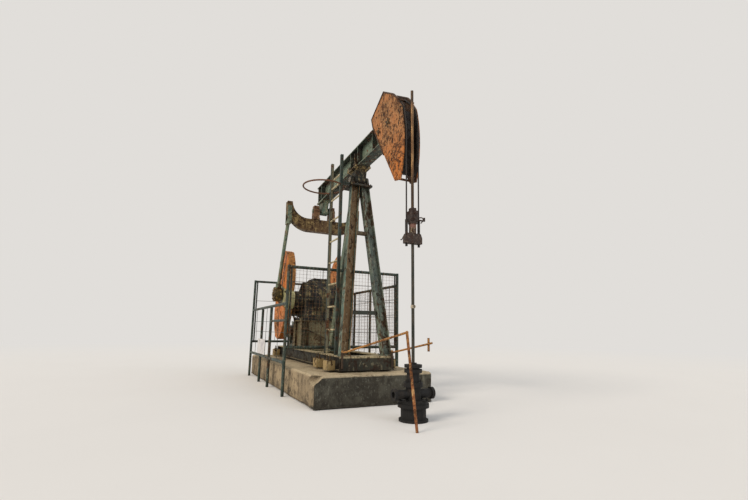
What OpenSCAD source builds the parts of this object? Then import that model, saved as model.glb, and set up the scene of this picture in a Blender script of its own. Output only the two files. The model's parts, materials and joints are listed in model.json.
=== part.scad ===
// Beam pumping unit on a concrete base, with its bridle, polished rod, wellhead, ladder and guards.
// +X points to the well, +Y to the right-hand side seen from the tail, +Z up.
// The origin lies on the ground straight below the saddle bearing.

/* [Base] */
// Length of the concrete base
base_l = 4000; // [3700:50:4400]
// Width of the concrete base
base_w = 1560; // [1500:10:1640]
// Height of the base above the ground
base_h = 375; // [325:5:400]
// Distance from the saddle axis to the front face of the base
base_front = 680; // [600:20:800]
// Chamfer along the top edges of the base
base_chamfer = 30; // [10:5:50]
// Size of the broken corner of the base
base_chip = 170; // [80:10:220]

/* [Skid] */
// Width over the two long skid beams
skid_w = 740; // [700:10:750]
// Depth of the skid beams
skid_d = 172; // [150:2:180]
// Flange width of the skid beams
skid_flange = 120; // [100:5:130]
// Distance from the saddle axis to the front end of the skid
skid_front = 400; // [390:5:460]
// Distance from the saddle axis back to the rear end of the skid
skid_rear = 2900; // [2850:10:2950]
// Depth of the channel that closes each end of the skid
skid_end_t = 60; // [40:5:80]

/* [Samson post] */
// Height of the saddle axis above the ground
saddle_z = 2970; // [2940:10:3020]
// Half distance between the feet of the front legs
leg_foot_y = 288; // [270:2:300]
// Half distance between the heads of the front legs
leg_head_y = 72; // [68:1:90]
// Front legs' feet ahead of the saddle axis
leg_foot_x = 335; // [300:5:340]
// Rear leg's foot behind the saddle axis
leg_rear_x = 850; // [780:10:900]
// Depth of the leg section
leg_d = 120; // [100:5:125]
// Flange width of the leg section
leg_flange = 100; // [80:5:105]
// Thickness of the cap plate
cap_t = 25; // [16:1:30]
// Diameter of the saddle shaft
saddle_shaft_d = 80; // [60:2:90]

/* [Walking beam] */
// Depth of the walking beam
beam_d = 303; // [280:1:320]
// Flange width of the walking beam
beam_flange = 165; // [150:1:168]
// Saddle axis to the underside of the walking beam
beam_rise = 171; // [160:1:185]
// Saddle axis to the tail end of the walking beam
beam_tail = 1690; // [1670:5:1750]
// Saddle axis to the front end of the walking beam
beam_nose = 1180; // [1120:5:1220]
// Tilt of the walking beam at rest, head up
beam_tilt = 2.2; // [1:0.1:4]
// Tail end of the walking beam to the equalizer bearing
tail_inset = 138; // [126:1:150]
// Equalizer bearing below the saddle axis, square to the beam
tail_drop = 10; // [0:1:20]

/* [Horsehead] */
// Radius of the rope track about the saddle axis
head_r = 1485; // [1460:5:1500]
// Clear width between the cheek plates
head_gap = 186; // [182:1:196]
// Thickness of the cheek plates
cheek_t = 12; // [8:1:16]
// Angle of the rope track below the beam line
track_low = 18; // [16:0.5:19]
// Angle of the rope track above the beam line
track_high = 14; // [13:0.5:15]
// Depth of the groove between the two rope ledges
track_groove = 55; // [40:1:60]

/* [Bridle and rod] */
// Diameter of the bridle ropes
rope_d = 16; // [12:1:19]
// Half distance between the two bridle ropes
rope_y = 76; // [70:1:80]
// Diameter of the polished rod
rod_d = 32; // [28:1:36]
// Height of the top of the polished rod
rod_top = 3560; // [3400:10:3600]
// Height of the carrier bar's underside
carrier_z = 1770; // [1700:10:1850]
// Height of the carrier bar
carrier_h = 110; // [90:5:130]
// Length of the carrier bar
carrier_l = 200; // [196:2:220]

/* [Equalizer and pitmans] */
// Half distance between the pitmans
pitman_y = 618; // [612:1:630]
// Diameter of the pitman tubes
pitman_d = 60; // [54:1:70]
// Thickness of the equalizer beam along the machine
equalizer_t = 130; // [110:5:140]
// Depth of the equalizer beam at its middle
equalizer_d = 215; // [190:5:230]
// Equalizer bearing axis above the top of the equalizer beam
equalizer_drop = 165; // [150:5:175]
// Diameter of the equalizer bearing shaft
tail_shaft_d = 70; // [60:2:80]

/* [Cranks and reducer] */
// Slow shaft behind the saddle axis
shaft_x = 1680; // [1660:5:1700]
// Height of the slow shaft
shaft_z = 1350; // [1345:1:1370]
// Crank radius to the wrist pin
crank_r = 420; // [400:5:430]
// Angle of the cranks above the horizontal at rest
crank_up = 15; // [10:1:20]
// Inner face of the cranks from the middle plane
crank_in = 440; // [436:1:446]
// Thickness of the crank arms
crank_t = 95; // [88:1:98]
// Width of the crank arms
crank_w = 310; // [280:5:320]
// Slow shaft to the far end of the crank arm
crank_l = 800; // [780:5:820]
// Diameter of the slow shaft
shaft_d = 110; // [90:2:120]
// Crank axis to the outer edge of a counterweight
weight_reach = 770; // [750:5:800]
// Thickness of the counterweights
weight_t = 120; // [112:1:126]
// Half width of the reducer housing
reducer_half = 270; // [255:1:275]
// Radius of the gear cover about the slow shaft
reducer_r = 352; // [335:1:360]
// Radius of the slow shaft's bearing covers
slow_boss_r = 158; // [130:2:162]
// Height of the reducer's mounting face
reducer_z = 1010; // [1000:1:1015]

/* [Ladder] */
// Spacing of the rungs
rung_step = 306; // [290:2:310]
// Width between the ladder's rail centres
ladder_w = 385; // [370:5:395]
// Ladder plane to the left of the middle plane
ladder_y = 300; // [295:5:310]
// Height of the ladder's top
ladder_top = 3280; // [3200:10:3300]
// Mean radius of the safety hoop
hoop_r = 285; // [280:1:290]

/* [Guards] */
// Guard planes from the edge of the base
guard_out = 70; // [55:1:80]
// Front guard behind the saddle axis
guard_front_x = 385; // [380:1:388]
// Rear guard behind the saddle axis
guard_rear_x = 3000; // [2990:5:3050]
// Height of the front guard
guard_h = 1730; // [1680:10:1760]
// Height of the rear guard
guard_rear_h = 1780; // [1740:5:1820]
// Height of the left guard
guard_left_h = 1185; // [1150:5:1250]
// Height of the right guard
guard_right_h = 1520; // [1450:10:1600]
// Diameter of the guard pipes
guard_d = 42; // [34:1:45]
// Spacing of the coarse wires in the front and right guards
wire_step = 240; // [200:10:260]
// Spacing of the bars in the rear and left guards
bar_step = 470; // [400:10:500]
// Thickness of the guard's coarse wires
wire_t = 6; // [4:1:8]

/* [Wellhead] */
// Diameter of the casing head
casing_d = 250; // [200:5:280]
// Height of the casing head
casing_h = 165; // [140:5:180]
// Height of the flow tee
tee_h = 175; // [160:5:190]
// Height of the stuffing box
stuffing_h = 210; // [190:5:230]
// Bore of the wellhead around the rod
well_bore = 62; // [56:2:70]
// Bore of the flow outlets
outlet_bore = 52; // [48:1:60]
// Bore of the pipe sockets in the flow outlets
socket_bore = 61; // [60:0.5:66]
// Depth of the pipe sockets
socket_l = 55; // [45:5:60]
// Length of the flow outlets from the well axis
outlet_l = 225; // [200:5:260]

/* [Hidden] */
$fn = 64;

seat = 0.3;
running = 0.05;
span_big = 9000;

skid_top = base_h + skid_d;
skid_inner = skid_w/2 - skid_flange;
foot_t = 15;
cap_z = saddle_z - 105;
rope_x = head_r + rope_d/2 + 0.5;
guard_half = base_w/2 + guard_out;
tail_arm = beam_tail - tail_inset;
pin_local = [-tail_arm, -tail_drop];
tail_pin = [pin_local.x*cos(beam_tilt) - pin_local.y*sin(beam_tilt), 0,
    saddle_z + pin_local.x*sin(beam_tilt) + pin_local.y*cos(beam_tilt)];
wrist = [-shaft_x - crank_r*cos(crank_up), 0, shaft_z + crank_r*sin(crank_up)];
fast_shaft = [-2050, 1200];
motor_shaft = [-2700, 790];
bearing_face = reducer_half + 20;
belt_guard_t = 78;

steel_green = "#4b665d";
steel_dark = "#3b3f3c";
rust_orange = "#b5652e";
rust_brown = "#7d5a44";

// Places what is drawn along +X so that it runs from p to q.
module span(p, q) {
    v = q - p;
    translate(p) rotate([0, -atan2(v.z, norm([v.x, v.y])), atan2(v.y, v.x)]) children();
}

// Places what is drawn along +Z so that it runs from p to q with its X and Y sides kept.
module column(p, q) {
    v = q - p;
    translate(p) rotate([-asin(v.y/norm(v)), atan2(v.x, v.z), 0]) children();
}

// Round bar or pipe between two points.
module bar(p, q, d) {
    span(p, q) rotate([0, 90, 0]) cylinder(d = d, h = norm(q - p));
}

// I-section with its depth along Y and its flanges along X.
module i_profile(depth, flange, tf, tw) {
    union() {
        for (s = [-1, 1]) translate([-flange/2, s*(depth - tf)/2 - tf/2]) square([flange, tf]);
        translate([-tw/2, -depth/2 + tf/2]) square([tw, depth - tf]);
    }
}

// I-beam along +X, its depth along Z, centred on the axis.
module i_beam(len, depth, flange, tf, tw) {
    rotate([90, 0, 90]) linear_extrude(len) i_profile(depth, flange, tf, tw);
}

// Draws a flat outline in the XZ plane, extruded along Y from y0 to y1.
module side_plate(y0, y1) {
    translate([0, y1, 0]) rotate([90, 0, 0]) linear_extrude(y1 - y0) children();
}

// Two round ends joined by their common tangents.
module link_outline(p, r1, q, r2) {
    d = norm(q - p);
    a = acos((r1 - r2)/d);
    t = atan2(q.y - p.y, q.x - p.x);
    union() {
        translate(p) circle(r1);
        translate(q) circle(r2);
        polygon([
            p + r1*[cos(t + a), sin(t + a)], q + r2*[cos(t + a), sin(t + a)],
            q + r2*[cos(t - a), sin(t - a)], p + r1*[cos(t - a), sin(t - a)]]);
    }
}

// Frame of the walking beam: saddle axis at the origin, X along the beam.
module beam_frame() {
    translate([0, 0, saddle_z]) rotate([0, -beam_tilt, 0]) children();
}

// Frame of the cranks: slow shaft at the origin, X along the crank arms.
module crank_frame() {
    translate([-shaft_x, 0, shaft_z]) rotate([0, -(180 - crank_up), 0]) children();
}

// Keeps what lies above the ground.
module above_ground() {
    intersection() {
        children();
        translate([-span_big/2, -span_big/2, 0]) cube(span_big);
    }
}

module concrete_base() {
    c = base_chamfer;
    rear = base_front - base_l;
    color("#9a8a72") difference() {
        intersection() {
            side_plate(-base_w/2, base_w/2) polygon([[rear, 0], [base_front, 0], [base_front, base_h - c],
                [base_front - c, base_h], [rear + c, base_h], [rear, base_h - c]]);
            translate([rear, 0, 0]) rotate([90, 0, 90]) linear_extrude(base_l) polygon([
                [-base_w/2, 0], [base_w/2, 0], [base_w/2, base_h - c], [base_w/2 - c, base_h],
                [-base_w/2 + c, base_h], [-base_w/2, base_h - c]]);
        }
        translate([base_front, -base_w/2, base_h]) rotate([28, 32, -45])
            cube([base_chip, base_chip*2, base_chip], center = true);
    }
}

skid_tf = 12;
skid_tw = 9;

module skid_beams() {
    color(steel_dark) for (s = [-1, 1])
        translate([-skid_rear + skid_end_t + seat, s*(skid_w - skid_flange)/2, base_h + skid_d/2])
            i_beam(skid_front + skid_rear - 2*(skid_end_t + seat), skid_d, skid_flange, skid_tf, skid_tw);
}

cross_x = [leg_foot_x - 60, -leg_rear_x, -1420, -2120, -2700];
cross_flange = 100;

module end_channel() {
    difference() {
        translate([0, -skid_w/2, 0]) cube([skid_end_t, skid_w, skid_d]);
        translate([-1, -skid_w/2 - 1, skid_tf]) cube([skid_end_t - skid_tw + 1, skid_w + 2, skid_d - 2*skid_tf]);
    }
}

module skid_cross_members() {
    color(steel_dark) {
        translate([skid_front - skid_end_t, 0, base_h]) end_channel();
        translate([-skid_rear + skid_end_t, 0, base_h]) mirror([1, 0, 0]) end_channel();
        for (x = cross_x) translate([x, -skid_inner + seat, base_h + skid_d/2]) rotate([0, 0, 90])
            i_beam(2*(skid_inner - seat), skid_d, cross_flange, skid_tf, skid_tw);
    }
}

block = [150, 105, 115];
block_x = [180, -230, -2760];

// Blocks that clamp the skid to the base.
module hold_downs() {
    color("#8d7a58") for (x = block_x) for (s = [-1, 1]) {
        y = s*(skid_w/2 + seat + block.y/2);
        difference() {
            translate([x - block.x/2, y - block.y/2, base_h]) cube(block);
            translate([x - block.x/4, y - s*block.y/2 - 20, base_h + block.z*0.55]) cube([block.x/2, 40, block.z]);
        }
    }
}

leg_tf = 10;
leg_tw = 8;
leg_heads = [30, -100];
function foot(s) = [leg_foot_x, s*leg_foot_y, skid_top + foot_t];
function head(s) = [leg_heads[0], s*leg_head_y, cap_z];
rear_foot = [-leg_rear_x, 0, skid_top + foot_t];
rear_head = [leg_heads[1], 0, cap_z];
foot_plate = [125, 140];

module leg(p, q) {
    union() {
        intersection() {
            column(p, q) translate([0, 0, -leg_d]) linear_extrude(norm(q - p) + 2*leg_d)
                i_profile(leg_d, leg_flange, leg_tf, leg_tw);
            translate([-span_big/2, -span_big/2, p.z - foot_t/2]) cube([span_big, span_big, q.z - p.z + foot_t/2]);
        }
        translate([p.x - foot_plate.x/2, p.y - foot_plate.y/2, p.z - foot_t])
            cube([foot_plate.x, foot_plate.y, foot_t]);
    }
}

module post_leg_left() { color(steel_green) leg(foot(-1), head(-1)); }
module post_leg_right() { color(steel_green) leg(foot(1), head(1)); }
module post_leg_rear() { color(steel_green) leg(rear_foot, rear_head); }

brace_z = [2170, 1085];

// Space taken by a front leg and its seat, for the braces to end at.
module leg_space(s) {
    column(foot(s), head(s)) translate([-leg_flange, -leg_d/2 - seat, -leg_d])
        cube([2*leg_flange, leg_d + 2*seat, norm(head(s) - foot(s)) + 2*leg_d]);
}

module post_braces() {
    color(rust_brown) difference() {
        union() {
            for (z = brace_z) {
                k = (z - skid_top)/(cap_z - skid_top);
                x = leg_foot_x + (leg_heads[0] - leg_foot_x)*k;
                y = leg_foot_y + (leg_head_y - leg_foot_y)*k;
                if (z == brace_z[0]) bar([x, -y, z], [x, y, z], 60);
                if (z == brace_z[1]) translate([x - 25, -y, z - 25]) cube([50, 2*y, 50]);
            }
        }
        for (s = [-1, 1]) leg_space(s);
    }
}

cap_x = [-185, 120];
cap_half = 165;
stand_in = 98;
stand_t = 32;

module post_cap() {
    color(steel_dark) difference() {
        union() {
            translate([cap_x[0], -cap_half, cap_z]) cube([cap_x[1] - cap_x[0], 2*cap_half, cap_t]);
            for (s = [-1, 1]) {
                y0 = s > 0 ? stand_in : -stand_in - stand_t;
                side_plate(y0, y0 + stand_t) union() {
                    translate([0, saddle_z]) circle(62);
                    polygon([[-100, cap_z + cap_t/2], [100, cap_z + cap_t/2], [62, saddle_z], [-62, saddle_z]]);
                }
            }
        }
        translate([0, -cap_half, saddle_z]) rotate([-90, 0, 0]) cylinder(d = saddle_shaft_d, h = 2*cap_half);
    }
}

module saddle_shaft() {
    color("silver") translate([0, -stand_in - stand_t - 12, saddle_z]) rotate([-90, 0, 0])
        cylinder(d = saddle_shaft_d, h = 2*(stand_in + stand_t + 12));
}

rail_t = 38;
rung_d = 24;
ladder_x = -107;
rung_first = 863;
hoop_c = [ladder_x, -487, 2832];
hoop_d = 22;

module ladder() {
    x = [ladder_x - ladder_w/2, ladder_x + ladder_w/2];
    count = floor((ladder_top - 80 - rung_first)/rung_step);
    color("#54625a") union() {
        for (i = [0, 1]) translate([x[i] - rail_t/2, -ladder_y - rail_t/2, skid_top])
            cube([rail_t, rail_t, ladder_top - skid_top]);
        for (i = [0:count]) bar([x[0], -ladder_y, rung_first + i*rung_step],
            [x[1], -ladder_y, rung_first + i*rung_step], rung_d);
        // Stays to the cap plate of the post.
        for (sx = [cap_x[0] + 40, x[1]]) translate([sx - 20, -ladder_y, cap_z + 4])
            cube([40, ladder_y - cap_half - seat, 16]);
        translate([x[0], -ladder_y - 10, cap_z + 4]) cube([ladder_w, 20, 16]);
        translate(hoop_c) rotate_extrude() translate([hoop_r, 0]) circle(d = hoop_d);
    }
}

pedestal_x = [-1375, -1835];
pedestal_half = 225;
column_y = 310;
column_d = 90;
column_w = 90;
plate_t = 14;
plate_over = 8;

module reducer_pedestal() {
    l = pedestal_x[0] - pedestal_x[1];
    h = reducer_z - skid_top;
    half = column_y + column_d/2 + plate_over;
    color("#6f6353") union() {
        translate([pedestal_x[1] + 20, -pedestal_half, skid_top]) cube([l - 40, 2*pedestal_half, h]);
        // Columns over the skid beams, with a web between each pair.
        for (s = [-1, 1]) {
            for (x = [pedestal_x[0] - column_w/2, pedestal_x[1] + column_w/2])
                translate([x, s*column_y, skid_top]) linear_extrude(h) i_profile(column_d, column_w, 8, 7);
            translate([pedestal_x[1] + column_w/2, s*column_y - 4, skid_top]) cube([l - column_w, 8, h]);
            // Stiffeners across the side walls.
            for (k = [1, 2]) translate([pedestal_x[1] + l*k/3 - 5, s > 0 ? pedestal_half - 5 : -column_y, skid_top])
                cube([10, column_y - pedestal_half + 5, h]);
        }
        for (z = [skid_top, reducer_z - plate_t]) translate([pedestal_x[1] - plate_over, -half, z])
            cube([l + 2*plate_over, 2*half, plate_t]);
    }
}

rear_r = 165;
side_drop = 48;
gear_half = 165;
split_t = 48;
reducer_feet = [-pedestal_x[0] - 20, -pedestal_x[1] + 50];
cover_end = crank_in - 18;

// Outline of the housing from the side, smaller by the given amount all round.
module reducer_outline(less) {
    c = [-shaft_x, shaft_z];
    union() {
        link_outline(c, reducer_r - less, fast_shaft, rear_r - less);
        translate([-reducer_feet[1] + 30, reducer_z]) square([reducer_feet[1] - reducer_feet[0] - 60, shaft_z - reducer_z]);
    }
}

// Bearing cover on the slow shaft, with a rim of smaller diameter at its end.
module slow_cover(s) {
    translate([-shaft_x, s*(reducer_half - 5), shaft_z]) rotate([-90*s, 0, 0]) union() {
        cylinder(r = slow_boss_r, h = 62);
        cylinder(r = slow_boss_r - 14, h = cover_end - reducer_half + 5 - 14);
        cylinder(r = slow_boss_r - 40, h = cover_end - reducer_half + 5);
    }
}

module gear_reducer() {
    color(steel_dark) difference() {
        union() {
            side_plate(-gear_half, gear_half) reducer_outline(0);
            side_plate(-gear_half - 22, gear_half + 22) reducer_outline(22);
            side_plate(-reducer_half, reducer_half) reducer_outline(side_drop);
            // Flange at the split of the housing, and the mounting feet.
            side_plate(-reducer_half - 14, reducer_half + 14) intersection() {
                reducer_outline(10);
                translate([-span_big/2, shaft_z - split_t/2]) square([span_big, split_t]);
            }
            translate([-reducer_feet[1], -column_y - column_d/2, reducer_z + seat])
                cube([reducer_feet[1] - reducer_feet[0], 2*column_y + column_d, 32]);
            for (s = [-1, 1]) {
                slow_cover(s);
                translate([fast_shaft.x, 0, fast_shaft.y]) rotate([-90*s, 0, 0]) cylinder(r = 85, h = bearing_face);
                // Ribs above and below the slow shaft's cover.
                side_plate(s > 0 ? reducer_half - 5 : -reducer_half - 30, s > 0 ? reducer_half + 30 : -reducer_half + 5)
                    translate([-shaft_x - 12, reducer_z + 20]) square([24, shaft_z + reducer_r*0.8 - reducer_z - 20]);
            }
            // Inspection cover on top.
            translate([-shaft_x - 110, -115, shaft_z + reducer_r - 40]) cube([220, 230, 56]);
        }
        translate([-shaft_x, -span_big/2, shaft_z]) rotate([-90, 0, 0])
            cylinder(d = shaft_d + 2*running, h = span_big);
        // Flat underside at the feet.
        translate([-span_big/2, -span_big/2, reducer_z - span_big + seat]) cube(span_big);
    }
}

guard_big_r = 185;
guard_small_r = 120;

module belt_guard() {
    y0 = bearing_face + seat;
    color(rust_orange) union() {
        side_plate(y0, y0 + belt_guard_t - 8) link_outline(fast_shaft, guard_big_r, motor_shaft, guard_small_r);
        side_plate(y0 + belt_guard_t - 10, y0 + belt_guard_t)
            link_outline(fast_shaft, guard_big_r - 24, motor_shaft, guard_small_r - 24);
        // Rim round the cover.
        side_plate(y0 + 34, y0 + 46) link_outline(fast_shaft, guard_big_r + 12, motor_shaft, guard_small_r + 12);
    }
}

motor_r = 145;
motor_y = [-230, 190];
fin_count = 12;
fin_d = 16;
motor_rail = [420, 60, 48];
motor_foot = [60, 300];
foot_out = 95;
terminal_box = [130, 130, 85];

module motor() {
    step = (motor_y[1] - motor_y[0] - 60)/fin_count;
    mid_y = (motor_y[0] + motor_y[1])/2;
    z0 = skid_top;
    color("#5d7468") union() {
        translate([motor_shaft.x, 0, motor_shaft.y]) rotate([-90, 0, 0]) {
            rotate_extrude() polygon(concat(
                [[0, motor_y[0] - 30], [60, motor_y[0] - 30], [105, motor_y[0]], [motor_r - 8, motor_y[0] + 20]],
                [for (i = [0:fin_count - 1]) for (k = [0, 1, 2, 3])
                    [k == 1 || k == 2 ? motor_r : motor_r - fin_d,
                     motor_y[0] + 30 + i*step + [0, 0.05, 0.45, 0.5][k]*step]],
                [[motor_r - 8, motor_y[1] - 20], [120, motor_y[1]], [0, motor_y[1]]]));
            cylinder(r = 24, h = bearing_face);
        }
        // Feet and the slide rails on the skid.
        for (s = [-1, 1]) translate([motor_shaft.x + s*foot_out - motor_foot.x/2, mid_y - motor_foot.y/2,
            z0 + motor_rail.z - 8]) cube([motor_foot.x, motor_foot.y, motor_shaft.y - z0 - 100]);
        for (s = [-1, 1]) translate([motor_shaft.x - motor_rail.x/2, mid_y + s*motor_foot.y/3 - motor_rail.y/2,
            z0 + seat]) cube(motor_rail);
        translate([motor_shaft.x - terminal_box.x/2, mid_y - terminal_box.y - 2, motor_shaft.y + motor_r - 25])
            cube(terminal_box);
    }
}

drum_r = 112;
drum_t = 55;
rod_x = pedestal_x[0] + seat;
rod_bracket = [34, column_d + 6, 44];
brake_rod = [[-column_y, 879], [column_y, 600]];

// Brake drum with its band on the fast shaft, and the pull rod across the pedestal's front.
module brake() {
    y1 = -bearing_face - seat;
    color(steel_dark) {
        union() {
            translate([fast_shaft.x, y1 - drum_t, fast_shaft.y]) rotate([-90, 0, 0]) difference() {
                cylinder(r = drum_r, h = drum_t);
                translate([0, 0, -1]) difference() {
                    cylinder(r = drum_r - 18, h = drum_t - 18);
                    translate([0, 0, -1]) cylinder(r = 42, h = drum_t);
                }
            }
            translate([fast_shaft.x, y1 - drum_t + 8, fast_shaft.y]) rotate([-90, 0, 0]) difference() {
                cylinder(r = drum_r + 7, h = drum_t - 16);
                translate([0, 0, -1]) cylinder(r = drum_r - 3, h = drum_t);
            }
            side_plate(y1 - 38, y1 - 22) link_outline([fast_shaft.x + 30, fast_shaft.y - drum_r + 4], 24,
                [fast_shaft.x + 90, reducer_z + 20], 16);
        }
        union() {
            bar([rod_x + 20, brake_rod[0].x, brake_rod[0].y], [rod_x + 20, brake_rod[1].x, brake_rod[1].y], 20);
            for (p = brake_rod) translate([rod_x, p.x - rod_bracket.y/2, p.y - rod_bracket.z/2]) cube(rod_bracket);
        }
    }
}

post_x = [-guard_front_x, -1355, -2040, -guard_rear_x];

// Uprights of the guards, from the ground.
module guard_posts() {
    color("#3c4a45") for (x = post_x) for (s = [-1, 1]) {
        side_h = s < 0 ? guard_left_h : guard_right_h;
        h = x == post_x[0] ? guard_h : x == post_x[3] ? guard_rear_h : side_h;
        translate([x, s*guard_half, 0]) cylinder(d = guard_d, h = h);
    }
}

// A framed panel of wires in the YZ plane, along Y for len and from z0 to z1, with round rails.
module panel(len, z0, z1, step) {
    r = guard_d/2;
    cols = ceil(len/step);
    rows = ceil((z1 - z0)/step);
    union() {
        for (z = [z0 + r, z1 - r]) translate([0, 0, z]) rotate([-90, 0, 0]) cylinder(d = guard_d, h = len);
        for (y = [r, len - r]) translate([-wire_t/2, y - r*0.6, z0 + r]) cube([wire_t, r*1.2, z1 - z0 - 2*r]);
        for (i = [1:cols - 1]) translate([-wire_t/2, i*len/cols - wire_t/2, z0 + r])
            cube([wire_t, wire_t, z1 - z0 - 2*r]);
        for (i = [1:rows - 1]) translate([-wire_t/2, r/2, z0 + i*(z1 - z0)/rows - wire_t/2])
            cube([wire_t, len - r, wire_t]);
    }
}

panel_low = skid_top + 55;
side_low = base_h + 30;
mid_rail_z = 980;
mid_rail_d = 34;

module cross_panel(x, h, step) {
    len = 2*guard_half - guard_d - 2*seat;
    translate([x, -len/2, 0]) panel(len, panel_low, h, step);
}

// Side guard between the corner posts, cut clear of the posts between them.
module side_panel(s, h, step) {
    len = guard_rear_x - guard_front_x - guard_d - 2*seat;
    difference() {
        union() {
            translate([-guard_front_x - guard_d/2 - seat, s*guard_half, 0]) rotate([0, 0, 90])
                panel(len, side_low, h + guard_d, step);
            if (s < 0) bar([-guard_front_x - guard_d/2 - seat, s*guard_half, mid_rail_z],
                [post_x[1], s*guard_half, mid_rail_z], mid_rail_d);
        }
        for (x = [post_x[1], post_x[2]]) translate([x, s*guard_half, -1]) cylinder(d = guard_d + 2*seat, h = h + 1 + seat);
    }
}

module guard_front() { color("#3c4a45") cross_panel(-guard_front_x, guard_h, wire_step); }
module guard_rear() { color("#3c4a45") cross_panel(-guard_rear_x, guard_rear_h, bar_step); }
module guard_left() { color("#3c4a45") side_panel(-1, guard_left_h, bar_step); }
module guard_right() { color("#3c4a45") side_panel(1, guard_right_h, wire_step); }

flange_t = 34;
tee_z = casing_h + seat;
stuffing_z = tee_z + tee_h + seat;

module well_casing() {
    color("#4a3f38") translate([rope_x, 0, 0]) difference() {
        union() {
            cylinder(d = casing_d, h = casing_h - flange_t/2);
            translate([0, 0, casing_h - flange_t]) cylinder(d = casing_d + 60, h = flange_t);
            cylinder(d = casing_d + 40, h = 22);
        }
        translate([0, 0, -1]) cylinder(d = well_bore, h = casing_h + 2);
    }
}

module flow_tee() {
    zc = tee_h/2;
    color("#5a4436") translate([rope_x, 0, tee_z]) difference() {
        union() {
            cylinder(d = 150, h = tee_h);
            cylinder(d = casing_d + 40, h = 26);
            translate([0, 0, tee_h - 20]) cylinder(d = 190, h = 20);
            translate([0, -outlet_l, zc]) rotate([-90, 0, 0]) cylinder(d = 88, h = 2*outlet_l);
            for (s = [-1, 1]) translate([0, s > 0 ? outlet_l - 30 : -outlet_l, zc])
                rotate([-90, 0, 0]) cylinder(d = 116, h = 30);
        }
        translate([0, 0, -1]) cylinder(d = well_bore, h = tee_h + 2);
        translate([0, -outlet_l - 1, zc]) rotate([-90, 0, 0]) cylinder(d = outlet_bore, h = 2*outlet_l + 2);
        for (s = [-1, 1]) translate([0, s > 0 ? outlet_l - socket_l : -outlet_l - 1, zc])
            rotate([-90, 0, 0]) cylinder(d = socket_bore, h = socket_l + 1);
    }
}

module stuffing_box() {
    color("#3a3633") translate([rope_x, 0, stuffing_z]) difference() {
        union() {
            cylinder(d = 190, h = 24);
            cylinder(d = 128, h = stuffing_h - 20);
            translate([0, 0, stuffing_h*0.55]) cylinder(d = 178, h = 34);
            translate([0, 0, stuffing_h - 46]) cylinder(d = 178, h = 30);
            translate([0, 0, stuffing_h - 30]) cylinder(d = 74, h = 30);
        }
        translate([0, 0, -1]) cylinder(d = well_bore, h = stuffing_h*0.5);
        translate([0, 0, -1]) cylinder(d = rod_d + 2*running, h = stuffing_h + 2);
    }
}

barrier_d = 26;
rail_d = 22;
stake_left = [1800, -250, 850];
stake_left_foot = [1925, -215, 0];
rail_end_right = [1276, 372, 735];
stub_right = [1212, 370, 642];
stub_l = 146;

// Riser on the skid's front face and the rail from it to the given point.
module barrier_rail(s, end) {
    x = skid_front + seat + barrier_d/2;
    y = s*(skid_w/2 - 30);
    bar([x, y, base_h + 30], [x, y, skid_top + 70], barrier_d);
    bar([x, y, skid_top + 40], end, rail_d);
}

// Pipe barrier on both sides of the well, fixed to the front of the skid.
module well_barrier() {
    color("#c77a34") {
        above_ground() union() {
            barrier_rail(-1, stake_left);
            bar(stake_left_foot - [0, 0, 60], stake_left, barrier_d);
            translate(stake_left) sphere(d = barrier_d + 4);
        }
        union() {
            barrier_rail(1, rail_end_right);
            translate(stub_right) cylinder(d = barrier_d, h = stub_l);
        }
    }
}

beam_tf = 14;
beam_tw = 9;
stiffener_t = 12;
end_inset = 53;
stiffener_x = [-beam_tail + end_inset, -tail_arm + 85, -130, 130, 620];
head_pin_x = [860, 1110];
head_pin_d = 50;
beam_mid = beam_rise + beam_d/2;

module walking_beam() {
    color(steel_green) beam_frame() difference() {
        union() {
            translate([-beam_tail, 0, beam_mid]) i_beam(beam_tail + beam_nose, beam_d, beam_flange, beam_tf, beam_tw);
            for (x = stiffener_x) translate([x - stiffener_t/2, -beam_flange/2 + 4, beam_rise + beam_tf/2])
                cube([stiffener_t, beam_flange - 8, beam_d - beam_tf]);
        }
        for (x = head_pin_x) translate([x, -beam_flange, beam_mid]) rotate([-90, 0, 0])
            cylinder(d = head_pin_d, h = 2*beam_flange);
    }
}

saddle_plate = [330, beam_flange, 20];
clamp_w = 34;
clamp_l = 70;
clamp_h = 46;

module saddle_bearing() {
    half = saddle_plate.y/2;
    color(rust_brown) beam_frame() difference() {
        union() {
            side_plate(-half, half) union() {
                circle(70);
                polygon([[-70, 0], [70, 0], [105, beam_rise - seat - 10], [-105, beam_rise - seat - 10]]);
            }
            translate([-saddle_plate.x/2, -half - clamp_w, beam_rise - seat - saddle_plate.z])
                cube([saddle_plate.x, 2*(half + clamp_w), saddle_plate.z]);
            // Clamps round the edges of the beam's lower flange.
            for (s = [-1, 1]) for (x = [-110, 110]) translate([x - clamp_l/2, s > 0 ? half + seat : -half - clamp_w,
                beam_rise - seat - saddle_plate.z]) cube([clamp_l, clamp_w - seat, saddle_plate.z + clamp_h]);
        }
        translate([0, -half - 1, 0]) rotate([-90, 0, 0]) cylinder(d = saddle_shaft_d + 2*running, h = 2*half + 2);
    }
}

bracket_half = 55;
bracket_r = 62;
bracket_plate = [300, beam_flange, 18];
bracket_lead = 130;
bracket_front = tail_arm - bracket_lead;
block_in = 92;
block_w = 98;

module tail_bracket() {
    color(steel_green) beam_frame() union() {
        side_plate(-bracket_half, bracket_half) union() {
            translate(pin_local) circle(bracket_r);
            polygon([pin_local + [2 - bracket_r, 0], pin_local + [bracket_r - 2, 0],
                [-bracket_front, beam_rise - seat - bracket_plate.z/2],
                [30 - tail_arm - bracket_lead, beam_rise - seat - bracket_plate.z/2]]);
        }
        translate([-tail_arm - bracket_lead, -bracket_plate.y/2, beam_rise - seat - bracket_plate.z])
            cube(bracket_plate);
        translate([pin_local.x, -block_in - block_w - 14, pin_local.y]) rotate([-90, 0, 0])
            cylinder(d = tail_shaft_d, h = 2*(block_in + block_w + 14));
    }
}

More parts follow.
